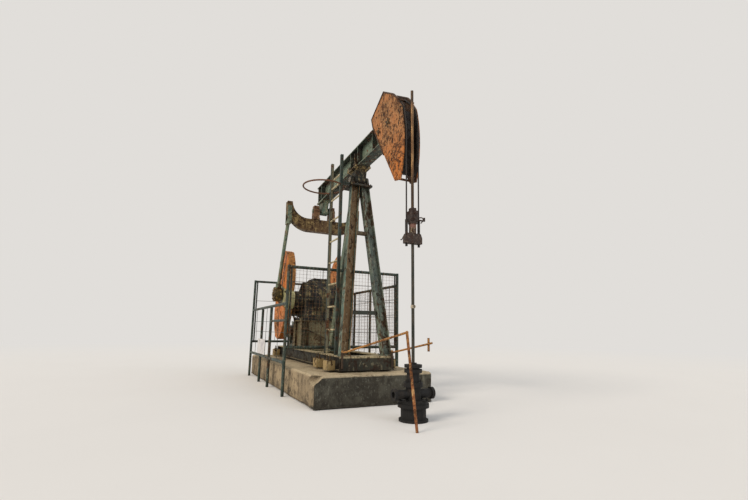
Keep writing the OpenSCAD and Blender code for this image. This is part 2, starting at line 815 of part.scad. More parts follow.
cheek_r = head_r + 6;
cheek_low = 20.5;
head_low = [1262, -489];
head_low_rear = [999, -48];
head_rear = [[708, 463], [668, 595]];
head_top = [[1006, 792], [1245, 623], [1372, 480]];

module cheek_outline() {
    n = 12;
    polygon(concat(
        [for (i = [0:n]) let (a = -cheek_low + (track_high + cheek_low)*i/n) cheek_r*[cos(a), sin(a)]],
        [head_top[2], head_top[1], head_top[0], head_rear[1], head_rear[0], head_low_rear, head_low]));
}

tie_d = 26;

module horsehead() {
    color(rust_orange) beam_frame() difference() {
        union() {
            for (s = [-1, 1]) {
                y0 = s > 0 ? head_gap/2 : -head_gap/2 - cheek_t;
                side_plate(y0, y0 + cheek_t) cheek_outline();
            }
            // Cross ties at the lower tips and along the top edge.
            for (p = [head_low + [45, 12], head_top[1] + [-30, -22], head_top[0] + [-12, -34],
                head_rear[1] + [18, 6]])
                translate([p.x, -head_gap/2 - cheek_t/2, p.y]) rotate([-90, 0, 0])
                    cylinder(d = tie_d, h = head_gap + cheek_t);
        }
        for (x = head_pin_x) translate([x, -head_gap, beam_mid]) rotate([-90, 0, 0])
            cylinder(d = head_pin_d, h = 2*head_gap);
    }
}

ledge_w = 35;
track_back = 26;

module head_track() {
    $fn = 540;
    h = head_gap/2 - seat;
    color("#4a3526") beam_frame() rotate([90, 0, 0]) rotate([0, 0, -track_low])
        rotate_extrude(angle = track_low + track_high) polygon([
            [head_r - track_groove - track_back, -h], [head_r, -h], [head_r, -h + ledge_w],
            [head_r - track_groove, -h + ledge_w], [head_r - track_groove, h - ledge_w], [head_r, h - ledge_w],
            [head_r, h], [head_r - track_groove - track_back, h]]);
}

module head_pins() {
    reach = head_gap/2 + cheek_t + 10;
    color(steel_dark) beam_frame() for (x = head_pin_x) translate([x, -reach, beam_mid]) rotate([-90, 0, 0])
        cylinder(d = head_pin_d, h = 2*reach);
}

eq_top = tail_pin.z - equalizer_drop;
eq_low = eq_top - equalizer_d;
eq_end = pitman_y + 40;
eq_end_w = 84;
eq_end_z = tail_pin.z + 100;
eq_out_r = 400;
eq_in_r = eq_end_z - eq_top + 12;

module equalizer_outline() {
    out_c = [eq_end - eq_out_r, eq_low + eq_out_r];
    in_c = [eq_end - eq_end_w - eq_in_r, eq_top + eq_in_r];
    difference() {
        union() {
            translate([-out_c.x, eq_low]) square([2*out_c.x, eq_out_r]);
            for (s = [-1, 1]) {
                translate([s*out_c.x, out_c.y]) circle(eq_out_r);
                translate([s > 0 ? out_c.x : -eq_end, out_c.y]) square([eq_out_r, eq_end_z - out_c.y]);
            }
        }
        translate([-in_c.x, eq_top]) square([2*in_c.x, span_big]);
        for (s = [-1, 1]) translate([s*in_c.x, in_c.y]) circle(eq_in_r);
        translate([-span_big/2, eq_end_z]) square(span_big);
    }
}

module equalizer_beam() {
    color(rust_brown) translate([tail_pin.x - equalizer_t/2, 0, 0]) rotate([90, 0, 90])
        linear_extrude(equalizer_t) equalizer_outline();
}

module equalizer_bearings() {
    color(rust_brown) for (s = [-1, 1]) {
        y0 = s > 0 ? block_in : -block_in - block_w;
        difference() {
            union() {
                side_plate(y0, y0 + block_w) union() {
                    translate([tail_pin.x, tail_pin.z]) circle(66);
                    polygon([[tail_pin.x - 66, tail_pin.z], [tail_pin.x + 66, tail_pin.z],
                        [tail_pin.x + 78, eq_top + seat], [tail_pin.x - 78, eq_top + seat]]);
                }
                translate([tail_pin.x - 95, y0 - 3, eq_top + seat]) cube([190, block_w + 6, 24]);
                // Bolted cap of the bearing.
                translate([tail_pin.x - 84, y0 + 8, tail_pin.z - 9]) cube([168, block_w - 16, 26]);
                translate([tail_pin.x - 52, y0 + 5, tail_pin.z + 45]) cube([104, block_w - 10, 44]);
            }
            translate([tail_pin.x, y0 - 10, tail_pin.z]) rotate([-90, 0, 0])
                cylinder(d = tail_shaft_d + 2*running, h = block_w + 20);
        }
    }
}

strap_t = 14;
strap_w = 66;
wrist_r = 125;
pitman_foot_d = pitman_d + 34;

module pitmans() {
    color(steel_green) for (s = [-1, 1]) {
        top = [tail_pin.x, s*pitman_y, eq_low + 150];
        low = [wrist.x, s*pitman_y, wrist.z];
        dir = (top - low)/norm(top - low);
        union() {
            bar(low + dir*(wrist_r + seat), top, pitman_d);
            bar(low + dir*(wrist_r + seat), low + dir*(wrist_r + 55), pitman_foot_d);
            // Fork that grips the end of the equalizer beam.
            for (k = [-1, 1]) translate([top.x + (k > 0 ? equalizer_t/2 + seat : -equalizer_t/2 - seat - strap_t),
                top.y - strap_w/2, top.z - 40]) cube([strap_t, strap_w, tail_pin.z + 60 - top.z]);
            translate([top.x - equalizer_t/2 - seat - strap_t, top.y - strap_w/2, top.z - 62])
                cube([equalizer_t + 2*(seat + strap_t), strap_w, 30]);
        }
    }
}

housing_in = crank_in + crank_t + 26;
housing_t = 2*(pitman_y - housing_in);
weight_gap = 6;

// Bearing housings on the pitmans, around the wrist pins.
module wrist_bearings() {
    color(steel_dark) for (s = [-1, 1]) translate([wrist.x, s > 0 ? housing_in : -housing_in - housing_t, wrist.z])
        rotate([-90, 0, 0]) union() {
            cylinder(r = wrist_r, h = housing_t);
            translate([0, 0, s > 0 ? 12 : -8]) cylinder(r = wrist_r - 35, h = housing_t - 4);
            translate([0, 0, s > 0 ? 12 : -24]) cylinder(r = 40, h = housing_t + 12);
        }
}

module crank_shaft() {
    reach = crank_in + crank_t + 20;
    color("#4d4a45") translate([-shaft_x, -reach, shaft_z]) rotate([-90, 0, 0]) cylinder(d = shaft_d, h = 2*reach);
}

hub_r = 145;
pin_boss_r = 78;
spare_pins = [crank_r - 115, crank_r + 115];

module crank_arms() {
    color("#8a5a34") crank_frame() for (s = [-1, 1]) {
        y0 = s > 0 ? crank_in : -crank_in - crank_t;
        // The pin boss ends clear of the wrist bearing.
        boss = [s > 0 ? crank_in + crank_t - 5 : -housing_in + 8, s > 0 ? housing_in - 8 : -crank_in - crank_t + 5];
        difference() {
            union() {
                side_plate(y0, y0 + crank_t) union() {
                    circle(crank_w/2);
                    translate([0, -crank_w/2]) square([crank_l - 60, crank_w]);
                    translate([crank_l - 62, -crank_w/2 + 30]) square([62, crank_w - 60]);
                }
                side_plate(y0 - 8, y0 + crank_t + 8) circle(hub_r - 20);
                side_plate(boss[0], boss[1]) translate([crank_r, 0]) circle(pin_boss_r);
            }
            translate([0, -span_big/2, 0]) rotate([-90, 0, 0]) cylinder(d = shaft_d, h = span_big);
            for (x = spare_pins) translate([x, -span_big/2, 0]) rotate([-90, 0, 0]) cylinder(d = 70, h = span_big);
        }
    }
}

weight_root = [-20, 765];
weight_tip = [305, 480];
weight_side_r = 620;
weight_slots = [[260, 300], [500, 300], [380, 520]];

// One counterweight: flat on the arm's edge, with bulging flanks up to a narrow flat end.
module weight_outline() {
    base = crank_w/2 + seat;
    d = weight_reach - base;
    intersection() {
        translate([weight_root[0], base]) square([weight_root[1] - weight_root[0], d]);
        // Each flank is an arc through its root and its tip.
        flank([weight_root[0], base], [weight_tip[0], weight_reach], 1);
        flank([weight_root[1], base], [weight_tip[1], weight_reach], -1);
    }
}

// Disc whose rim passes through p and q; dir sets on which side of them its middle lies.
module flank(p, q, dir) {
    m = (p + q)/2;
    h = norm(q - p)/2;
    n = [q.y - p.y, p.x - q.x]/norm(q - p);
    translate(m + dir*n*sqrt(weight_side_r*weight_side_r - h*h)) circle(r = weight_side_r, $fn = 180);
}

module weights(s) {
    // The outer face runs clear of the wrist bearing.
    y0 = s*(housing_in - weight_gap - weight_t/2) - weight_t/2;
    color(rust_orange) crank_frame() for (k = [0, 1]) mirror([0, 0, k]) difference() {
        side_plate(y0, y0 + weight_t) weight_outline();
        for (p = weight_slots) side_plate(y0 - 1, y0 + weight_t + 1) translate(p) union() {
            square([44, 46], center = true);
            for (e = [-1, 1]) translate([0, e*23]) circle(r = 22);
        }
    }
}

module weights_left() { weights(-1); }
module weights_right() { weights(1); }

socket_d = 30;
carrier_w = 66;
rope_up = 200;

module bridle_ropes() {
    color("#2f2c2a") for (s = [-1, 1]) translate([rope_x, s*rope_y, 0]) union() {
        translate([0, 0, carrier_z - 22]) cylinder(d = rope_d, h = saddle_z + rope_up - carrier_z + 22);
        translate([0, 0, carrier_z + carrier_h + seat]) cylinder(d = socket_d, h = 150);
        translate([0, 0, carrier_z - 30]) cylinder(d = socket_d - 4, h = 30 - seat);
    }
}

module carrier_bar() {
    color("#35302c") difference() {
        translate([rope_x - carrier_w/2, 0, carrier_z]) rotate([90, 0, 90]) linear_extrude(carrier_w) polygon([
            [-carrier_l/2, 0], [carrier_l/2, 0], [carrier_l/2, carrier_h*0.6], [carrier_l/2 - 18, carrier_h],
            [-carrier_l/2 + 18, carrier_h], [-carrier_l/2, carrier_h*0.6]]);
        translate([rope_x, 0, carrier_z - 1]) cylinder(d = rod_d, h = carrier_h + 2);
        for (s = [-1, 1]) translate([rope_x, s*rope_y, carrier_z - 1]) cylinder(d = rope_d, h = carrier_h + 2);
    }
}

spacer_h = 108;
spacer_z = carrier_z + carrier_h + seat;
clamp_z = spacer_z + spacer_h + seat;

module rod_spacer() {
    color("#8a6a60") translate([rope_x, 0, spacer_z]) difference() {
        cylinder(d = 78, h = spacer_h);
        translate([0, 0, -1]) cylinder(d = rod_d, h = spacer_h + 2);
    }
}

module rod_clamp() {
    color("#35302c") translate([rope_x, 0, clamp_z]) difference() {
        union() {
            cylinder(d = 98, h = 26);
            translate([-48, -42, 24]) cube([96, 84, 118]);
            translate([-30, -30, 140]) cube([60, 60, 34]);
            for (z = [52, 110]) translate([-58, 0, z]) rotate([0, 90, 0]) cylinder(d = 26, h = 116);
            // Release lever, which passes in front of the rope.
            translate([26, 30, 34]) cube([18, 102, 12]);
            translate([26, 120, 34]) cube([18, 12, 42]);
        }
        translate([0, 0, -1]) cylinder(d = rod_d, h = 200);
    }
}

string_gap = 420;

module polished_rod() {
    color("silver") translate([rope_x, 0, string_gap]) cylinder(d = rod_d, h = rod_top - string_gap);
}

module rod_string() {
    color("silver") translate([rope_x, 0, 20]) cylinder(d = rod_d, h = string_gap - seat - 20);
}

concrete_base();
skid_beams();
skid_cross_members();
hold_downs();
post_leg_left();
post_leg_right();
post_leg_rear();
post_braces();
post_cap();
saddle_shaft();
ladder();
reducer_pedestal();
gear_reducer();
belt_guard();
motor();
brake();
guard_posts();
guard_front();
guard_left();
guard_right();
guard_rear();
well_casing();
flow_tee();
stuffing_box();
well_barrier();
walking_beam();
saddle_bearing();
tail_bracket();
horsehead();
head_track();
head_pins();
equalizer_beam();
equalizer_bearings();
pitmans();
wrist_bearings();
crank_shaft();
crank_arms();
weights_left();
weights_right();
bridle_ropes();
carrier_bar();
rod_spacer();
rod_clamp();
polished_rod();
rod_string();
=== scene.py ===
"""Looks of the beam pumping unit: materials, small fittings, light and camera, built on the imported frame."""

import json
import math
import random

import bmesh
import bpy
from mathutils import Matrix, Vector


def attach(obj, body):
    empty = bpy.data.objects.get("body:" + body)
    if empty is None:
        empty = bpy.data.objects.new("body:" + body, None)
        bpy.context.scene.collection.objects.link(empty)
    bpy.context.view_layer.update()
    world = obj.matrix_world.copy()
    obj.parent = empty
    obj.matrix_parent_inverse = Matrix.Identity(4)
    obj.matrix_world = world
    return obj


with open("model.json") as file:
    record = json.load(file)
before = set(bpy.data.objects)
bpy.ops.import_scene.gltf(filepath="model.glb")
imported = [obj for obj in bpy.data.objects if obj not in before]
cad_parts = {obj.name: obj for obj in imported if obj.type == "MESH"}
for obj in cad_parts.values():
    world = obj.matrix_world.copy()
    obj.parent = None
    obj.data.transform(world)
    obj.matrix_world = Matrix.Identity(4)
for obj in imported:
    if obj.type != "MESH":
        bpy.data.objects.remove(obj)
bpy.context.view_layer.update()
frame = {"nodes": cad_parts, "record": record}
rng = random.Random(11)

# Places and sizes of the part at rest, in metres. +X points to the well, +Z up, and +Y to the right
# as seen from the well.
SADDLE = Vector((0, 0, 2.970))
BEAM_TILT = math.radians(2.2)
BEAM_RISE = 0.171
BEAM_D = 0.303
SHAFT = Vector((-1.680, 0, 1.350))
CRANK_UP = math.radians(15)
CRANK_FACE = 0.535
WRIST_FACE = 0.675
ROD_X = 1.4935
ROPE_Y = 0.076
ROPE_D = 0.016
HEAD_R = 1.485
CHEEK_IN = 0.0935
SKID_TOP = 0.547
CAP_Z = 2.865
LEG_X, LEG_Y = 0.335, 0.288
REAR_LEG_X = -0.850
TAIL_X, TAIL_Z = -1.5505, 2.9004
PITMAN_Y = 0.618
WRIST_R = 0.420
FAST_X, FAST_Z = -2.050, 1.200
MOTOR_X, MOTOR_Z = -2.700, 0.790
GUARD_Y = 0.850
GUARD_FRONT_X = -0.385
GUARD_REAR_X = -3.000
# Heights of the lower and upper pipes of the front guard and of the right one.
FRONT_LOW, FRONT_HIGH = 0.623, 1.709
SIDE_LOW, SIDE_HIGH = 0.426, 1.541
# Middle of the ladder, and half the distance between its rails.
LADDER_X = -0.107
LADDER_Y = -0.300
LADDER_HALF = 0.1925

# Indices of the axes, for the masks.
X, Y, Z = range(3)
UP = (0, 0, 1)

# The beam's frame has its origin on the saddle's axis, and the cranks' frame on the slow shaft's.
BEAM = Matrix.Translation(SADDLE) @ Matrix.Rotation(-BEAM_TILT, 4, "Y")
CRANK = Matrix.Translation(SHAFT) @ Matrix.Rotation(CRANK_UP - math.pi, 4, "Y")


# ---------------------------------------------------------------- shader building

def rgb(code):
    """Linear colour of an sRGB code such as "#a0b0c0"."""
    parts = [int(code[i:i + 2], 16) / 255 for i in (1, 3, 5)]
    return tuple(c / 12.92 if c <= 0.04045 else ((c + 0.055) / 1.055) ** 2.4 for c in parts) + (1,)


class Shader:
    """A material with a Principled BSDF and short names for the nodes that feed it."""

    def __init__(self, name, metallic=0.0, specular=0.4):
        self.material = bpy.data.materials.new(name)
        self.material.use_nodes = True
        self.tree = self.material.node_tree
        self.tree.nodes.clear()
        out = self.node("ShaderNodeOutputMaterial")
        self.bsdf = self.node("ShaderNodeBsdfPrincipled")
        self.bsdf.inputs["Metallic"].default_value = metallic
        self.bsdf.inputs["Specular IOR Level"].default_value = specular
        self.tree.links.new(self.bsdf.outputs[0], out.inputs["Surface"])
        coords = self.node("ShaderNodeTexCoord")
        self.place = coords.outputs["Object"]
        self.normal = coords.outputs["Normal"]

    def node(self, kind, **settings):
        made = self.tree.nodes.new(kind)
        for key, value in settings.items():
            setattr(made, key, value)
        return made

    def feed(self, socket, value):
        """Links a socket to a value's output, or sets the value on it."""
        if isinstance(value, bpy.types.NodeSocket):
            self.tree.links.new(value, socket)
        else:
            socket.default_value = value

    def noise(self, scale, detail=4, rough=0.55, stretch=(1, 1, 1), shift=(0, 0, 0)):
        mapping = self.node("ShaderNodeMapping")
        mapping.inputs["Scale"].default_value = stretch
        mapping.inputs["Location"].default_value = shift
        self.feed(mapping.inputs["Vector"], self.place)
        made = self.node("ShaderNodeTexNoise")
        made.inputs["Scale"].default_value = scale
        made.inputs["Detail"].default_value = detail
        made.inputs["Roughness"].default_value = rough
        self.feed(made.inputs["Vector"], mapping.outputs[0])
        return made.outputs["Fac"]

    def step(self, value, low, high):
        """0 below low, 1 above high, smooth between them."""
        made = self.node("ShaderNodeMapRange", interpolation_type="SMOOTHSTEP")
        self.feed(made.inputs["Value"], value)
        made.inputs["From Min"].default_value = low
        made.inputs["From Max"].default_value = high
        return made.outputs[0]

    def math(self, operation, a, b=0.0):
        made = self.node("ShaderNodeMath", operation=operation)
        self.feed(made.inputs[0], a)
        self.feed(made.inputs[1], b)
        return made.outputs[0]

    def times(self, a, b):
        return self.math("MULTIPLY", a, b)

    def plus(self, a, b):
        return self.math("ADD", a, b)

    def inverse(self, value):
        """1 where the value is 0, and 0 where it is 1."""
        return self.math("SUBTRACT", 1.0, value)

    def below(self, low, high):
        """1 under the height low, 0 over the height high."""
        return self.inverse(self.above(low, high))

    def above(self, low, high):
        """0 under the height low, 1 over the height high."""
        return self.step(self.axis(self.place, Z), low, high)

    def mix(self, factor, a, b):
        made = self.node("ShaderNodeMix", data_type="RGBA")
        self.feed(made.inputs[0], factor)
        self.feed(made.inputs[6], a)
        self.feed(made.inputs[7], b)
        return made.outputs[2]

    def axis(self, vector, index):
        made = self.node("ShaderNodeSeparateXYZ")
        self.feed(made.inputs[0], vector)
        return made.outputs[index]

    def within(self, index, low, high, soft=0.004):
        """1 where the place's coordinate lies between low and high."""
        value = self.axis(self.place, index)
        return self.times(self.step(value, low - soft, low), self.inverse(self.step(value, high, high + soft)))

    def edges(self, radius):
        """1 along the outer edges of the shape."""
        bevel = self.node("ShaderNodeBevel", samples=4)
        bevel.inputs["Radius"].default_value = radius
        flat = self.node("ShaderNodeNewGeometry")
        dot = self.node("ShaderNodeVectorMath", operation="DOT_PRODUCT")
        self.feed(dot.inputs[0], bevel.outputs[0])
        self.feed(dot.inputs[1], flat.outputs["Normal"])
        return self.inverse(self.step(dot.outputs["Value"], 0.72, 0.995))

    def corners(self, reach):
        """1 deep in corners and cavities, found by ambient occlusion: where painted shade is laid."""
        made = self.node("ShaderNodeAmbientOcclusion", samples=4)
        made.inputs["Distance"].default_value = reach
        return self.inverse(self.step(made.outputs["AO"], 0.35, 0.95))

    def bump(self, height, strength, distance=0.003):
        made = self.node("ShaderNodeBump")
        made.inputs["Strength"].default_value = strength
        made.inputs["Distance"].default_value = distance
        self.feed(made.inputs["Height"], height)
        self.feed(self.bsdf.inputs["Normal"], made.outputs[0])


BACKDROP = rgb("#e1deda")
RUST = rgb("#6f4a30")
RUST_DEEP = rgb("#33231a")
# Colour of the painted shade laid in corners and cavities.
CORNER_SHADE = rgb("#27211c")


def worn_metal(name, paint, faded, rust=RUST, deep=RUST_DEEP, amount=0.5, spots=0.5, streaks=0.4, edge=0.7,
               size=1.0, gloss=(0.5, 0.85), zones=(), cover=None, dust=None):
    """Painted steel with faded patches, rust, dark pits, run-down streaks, dark edges of wear and painted shade, and
    painted shade in corners.

    amount is the share of rust, and dust the colour of the pale specks. zones are (mask, colour, strength),
    laid over the paint. cover is one such zone, laid over paint, rust and specks.
    """
    s = Shader(name, specular=0.22)
    cloud = s.noise(1.9 * size, 3, 0.5, shift=(3.1, 1.7, 0.4))
    blotch = s.noise(12 * size, 9, 0.70)
    pits = s.noise(52 * size, 5, 0.62)
    streak = s.noise(1.0, 4, 0.6, stretch=(26 * size, 26 * size, 2.4 * size))
    specks = s.noise(23 * size, 7, 0.72, stretch=(1, 1, 0.55), shift=(5.2, 0.3, 2.6))
    marks = s.noise(18 * size, 8, 0.74, stretch=(1, 1, 0.60), shift=(1.3, 4.4, 0.8))
    colour = s.mix(s.step(cloud, 0.38, 0.62), paint, faded)
    for mask, tint, strength in zones:
        colour = s.mix(s.times(mask(s), strength), colour, tint)
    worn = s.plus(s.times(cloud, 0.45), s.times(blotch, 0.75))
    level = 0.60 + (0.5 - amount) * 0.42
    patch = s.step(worn, level - 0.035, level + 0.03)
    rusted = s.mix(s.step(pits, 0.42, 0.62), rust, deep)
    run = s.times(s.step(streak, 0.52, 0.70), streaks)
    colour = s.mix(run, colour, s.mix(0.45, rust, deep))
    colour = s.mix(patch, colour, rusted)
    pale = s.times(s.step(specks, 0.545, 0.615), 0.70)
    colour = s.mix(pale, colour, dust or rgb("#a79c7e"))
    spot = s.step(marks, 0.625 - 0.07 * spots, 0.665 - 0.07 * spots)
    colour = s.mix(s.times(spot, 0.92), colour, deep)
    if cover:
        mask, tint, strength = cover
        colour = s.mix(s.times(mask(s), strength), colour, tint)
    # Edges darkened with deep rust: partly wear, partly painted shade on the edge faces.
    rim = s.times(s.edges(0.010), s.step(blotch, 0.36, 0.56))
    colour = s.mix(s.times(rim, edge), colour, deep)
    # Painted shade: corners and cavities darkened by ambient occlusion.
    colour = s.mix(s.times(s.corners(0.13), 0.55), colour, CORNER_SHADE)
    s.feed(s.bsdf.inputs["Base Color"], colour)
    rough = s.node("ShaderNodeMapRange")
    s.feed(rough.inputs["Value"], s.math("MAXIMUM", patch, spot))
    rough.inputs["To Min"].default_value, rough.inputs["To Max"].default_value = gloss
    s.feed(s.bsdf.inputs["Roughness"], rough.outputs[0])
    s.bump(s.plus(s.times(pits, 0.5), s.inverse(spot)), 0.45, 0.002)
    return s.material


def greasy_iron(name, iron, grease, grime, wet=0.5, size=1.0, crust=rgb("#9c8c66"), share=0.5):
    """Dark cast iron under oil: dried grease, black wet runs and crusts; share is the share of crusts."""
    s = Shader(name, specular=0.42)
    blotch = s.noise(6.5 * size, 8, 0.68)
    fine = s.noise(38 * size, 6, 0.65)
    crusts = s.noise(19 * size, 8, 0.74, stretch=(1, 1, 0.7), shift=(2.2, 0.7, 5.1))
    streak = s.noise(1.0, 5, 0.6, stretch=(19 * size, 19 * size, 2.2 * size))
    colour = s.mix(s.step(blotch, 0.49, 0.60), iron, grease)
    colour = s.mix(s.step(streak, 0.50, 0.60), colour, grime)
    patch_mask = s.step(crusts, 0.640 - 0.12 * share, 0.690 - 0.12 * share)
    colour = s.mix(s.times(patch_mask, 0.85), colour, crust)
    # Painted shade: corners and cavities of the iron darkened nearly black by ambient occlusion.
    colour = s.mix(s.times(s.corners(0.14), 0.7), colour, rgb("#11100e"))
    s.feed(s.bsdf.inputs["Base Color"], colour)
    rough = s.node("ShaderNodeMapRange")
    s.feed(rough.inputs["Value"], s.step(streak, 0.45, 0.62))
    rough.inputs["To Min"].default_value, rough.inputs["To Max"].default_value = 0.85, 0.85 - 0.55 * wet
    s.feed(s.bsdf.inputs["Roughness"], rough.outputs[0])
    s.bump(s.plus(fine, blotch), 0.7, 0.005)
    return s.material


def concrete(name):
    """Old cast concrete: pale and stony on top and at the sides, dark on the face to the well with oil stains and
    painted shade.
    """
    s = Shader(name, specular=0.2)
    cloud = s.noise(1.5, 4, 0.6)
    blotch = s.noise(8, 10, 0.72)
    grit = s.noise(60, 6, 0.7)
    streak = s.noise(1.0, 6, 0.68, stretch=(17, 17, 2.2))
    colour = s.mix(s.step(cloud, 0.40, 0.62), rgb("#a99678"), rgb("#8f7f66"))
    colour = s.mix(s.step(blotch, 0.47, 0.60), colour, rgb("#6d604e"))
    colour = s.mix(s.times(s.step(streak, 0.53, 0.68), 0.60), colour, rgb("#5a4e3d"))
    foot = s.below(0.030, 0.060)
    # The face to the well and the foot are laid dark grey: oil stains, and painted shade on that face.
    well_face_stain_and_shade = s.math("MAXIMUM", s.step(s.axis(s.normal, X), 0.45, 0.8), foot)
    well_face_stain_and_shade = s.times(well_face_stain_and_shade, s.step(s.axis(s.place, X), 0.50, 0.62))
    stain_and_shade_colour = s.mix(s.step(blotch, 0.42, 0.60), rgb("#2d2d29"), rgb("#4e4d44"))
    lime = s.times(s.step(streak, 0.56, 0.68), s.above(0.05, 0.34))
    stain_and_shade_colour = s.mix(s.times(lime, 0.68), stain_and_shade_colour, rgb("#7f7c6c"))
    colour = s.mix(s.times(well_face_stain_and_shade, 0.94), colour, stain_and_shade_colour)
    top = s.times(s.step(s.axis(s.normal, Z), 0.3, 0.7), s.step(blotch, 0.36, 0.56))
    top = s.times(top, s.above(0.10, 0.20))
    colour = s.mix(s.times(top, 0.85), colour, rgb("#beae90"))
    rim = s.times(s.above(0.325, 0.355), s.step(blotch, 0.35, 0.5))
    colour = s.mix(s.times(rim, 0.6), colour, rgb("#b9a98b"))
    grains = s.step(s.noise(33, 7, 0.75, stretch=(1, 1, 0.7), shift=(6, 1, 3)), 0.55, 0.63)
    colour = s.mix(s.times(s.times(grains, well_face_stain_and_shade), 0.62), colour, rgb("#77766b"))
    colour = s.mix(s.step(grit, 0.60, 0.72), colour, rgb("#4d4338"))
    stones = s.inverse(s.times(well_face_stain_and_shade, 0.85))
    stones = s.times(stones, s.step(s.noise(41, 6, 0.7, shift=(2, 5, 1)), 0.61, 0.70))
    colour = s.mix(stones, colour, rgb("#c4b699"))
    # Painted shade: corners and cavities of the concrete darkened by ambient occlusion.
    colour = s.mix(s.times(s.corners(0.20), 0.6), colour, CORNER_SHADE)
    s.feed(s.bsdf.inputs["Base Color"], colour)
    s.bsdf.inputs["Roughness"].default_value = 0.93
    s.bump(s.plus(s.times(grit, 0.6), blotch), 0.9, 0.008)
    return s.material


def wire_rope(name):
    """Greased steel rope, with its strands as a slanted ripple along Z."""
    s = Shader(name, metallic=0.4, specular=0.5)
    wave = s.node("ShaderNodeTexWave", wave_type="BANDS", bands_direction="DIAGONAL")
    wave.inputs["Scale"].default_value = 26
    wave.inputs["Distortion"].default_value = 0.6
    s.feed(wave.inputs["Vector"], s.place)
    grime = s.noise(30, 5, 0.6)
    colour = s.mix(s.step(wave.outputs["Fac"], 0.2, 0.8), rgb("#141210"), rgb("#332c26"))
    s.feed(s.bsdf.inputs["Base Color"], s.mix(s.step(grime, 0.54, 0.74), colour, rgb("#463020")))
    s.feed(s.bsdf.inputs["Roughness"], s.plus(s.times(grime, 0.5), 0.3))
    s.bump(wave.outputs["Fac"], 0.8, 0.002)
    return s.material


def rod_steel(name):
    """Rod worn bright in front of the horsehead, rusty brown below it and oily near the well."""
    s = Shader(name, metallic=0.55, specular=0.5)
    dull = s.math("MAXIMUM", s.below(2.46, 2.62), s.above(3.38, 3.44))
    grime = s.noise(24, 6, 0.65, stretch=(1, 1, 0.25))
    colour = s.mix(s.step(grime, 0.42, 0.62), rgb("#8b6b45"), rgb("#63462b"))
    oily = s.mix(s.step(grime, 0.42, 0.62), rgb("#2b2f29"), rgb("#474137"))
    brown = s.mix(s.step(grime, 0.42, 0.62), rgb("#46341f"), rgb("#33251a"))
    dark = s.mix(s.above(2.00, 2.14), oily, brown)
    s.feed(s.bsdf.inputs["Base Color"], s.mix(dull, colour, dark))
    s.feed(s.bsdf.inputs["Roughness"], s.plus(s.times(grime, 0.4), 0.25))
    s.bump(grime, 0.25, 0.001)
    return s.material


# ---------------------------------------------------------------- masks: what part of a piece a colour covers

def facing(index):
    """Makes a mask that is 1 on faces that look along the given axis."""
    return lambda s: s.step(s.axis(s.normal, index), 0.55, 0.85)


def side_faces(s):
    """1 on faces that look to either side."""
    return s.step(s.math("ABSOLUTE", s.axis(s.normal, Y)), 0.6, 0.9)


def rungs(s):
    """1 on the ladder's rungs."""
    half, r = 0.171, 0.014
    return s.times(s.within(X, LADDER_X - half, LADDER_X + half), s.within(Y, LADDER_Y - r, LADDER_Y + r))


def hoop(s):
    """1 on the ladder's hoop."""
    rail = s.within(Y, LADDER_Y - 0.022, LADDER_Y + 0.022)
    return s.times(s.within(Z, 2.815, 2.850), s.inverse(rail))


def skid_rim_dust_and_highlight(s):
    """1 along the skid's upper edge, in a pale band of dust and painted highlight."""
    return s.times(s.above(SKID_TOP - 0.026, SKID_TOP - 0.020), s.step(s.noise(21, 7, 0.7), 0.34, 0.44))


def low_brace(s):
    """1 on the lower of the post's two braces."""
    return s.below(1.5, 1.6)


def barrier_feet(s):
    """1 on the barrier's short posts on the skid."""
    low = s.below(0.585, 0.605)
    return s.times(low, s.inverse(s.step(s.axis(s.place, X), 0.60, 0.65)))


def front_post(s):
    """1 on the barrier's post in front of the well, below its top."""
    low = s.below(0.66, 0.82)
    return s.times(low, s.step(s.axis(s.place, X), 1.70, 1.76))


def under_beam(s):
    """1 in pale tan patches on the saddle's upper part, below the walking beam: painted highlights."""
    patch_mask = s.step(s.noise(17, 6, 0.65), 0.42, 0.58)
    return s.times(patch_mask, s.above(3.075, 3.115))


def low_spacer(s):
    """1 on the greasy lower half of the spacer on the rod."""
    return s.below(1.925, 1.950)


def inside_head(s):
    """1 between the horsehead's cheeks, where the recess is laid dark as painted shade."""
    return s.within(Y, -CHEEK_IN, CHEEK_IN, 0.002)


def low_head(s):
    """1 towards the horsehead's lower tip, where the orange is laid brighter."""
    return s.below(2.65, 3.25)


# ---------------------------------------------------------------- materials by slot, and of single pieces

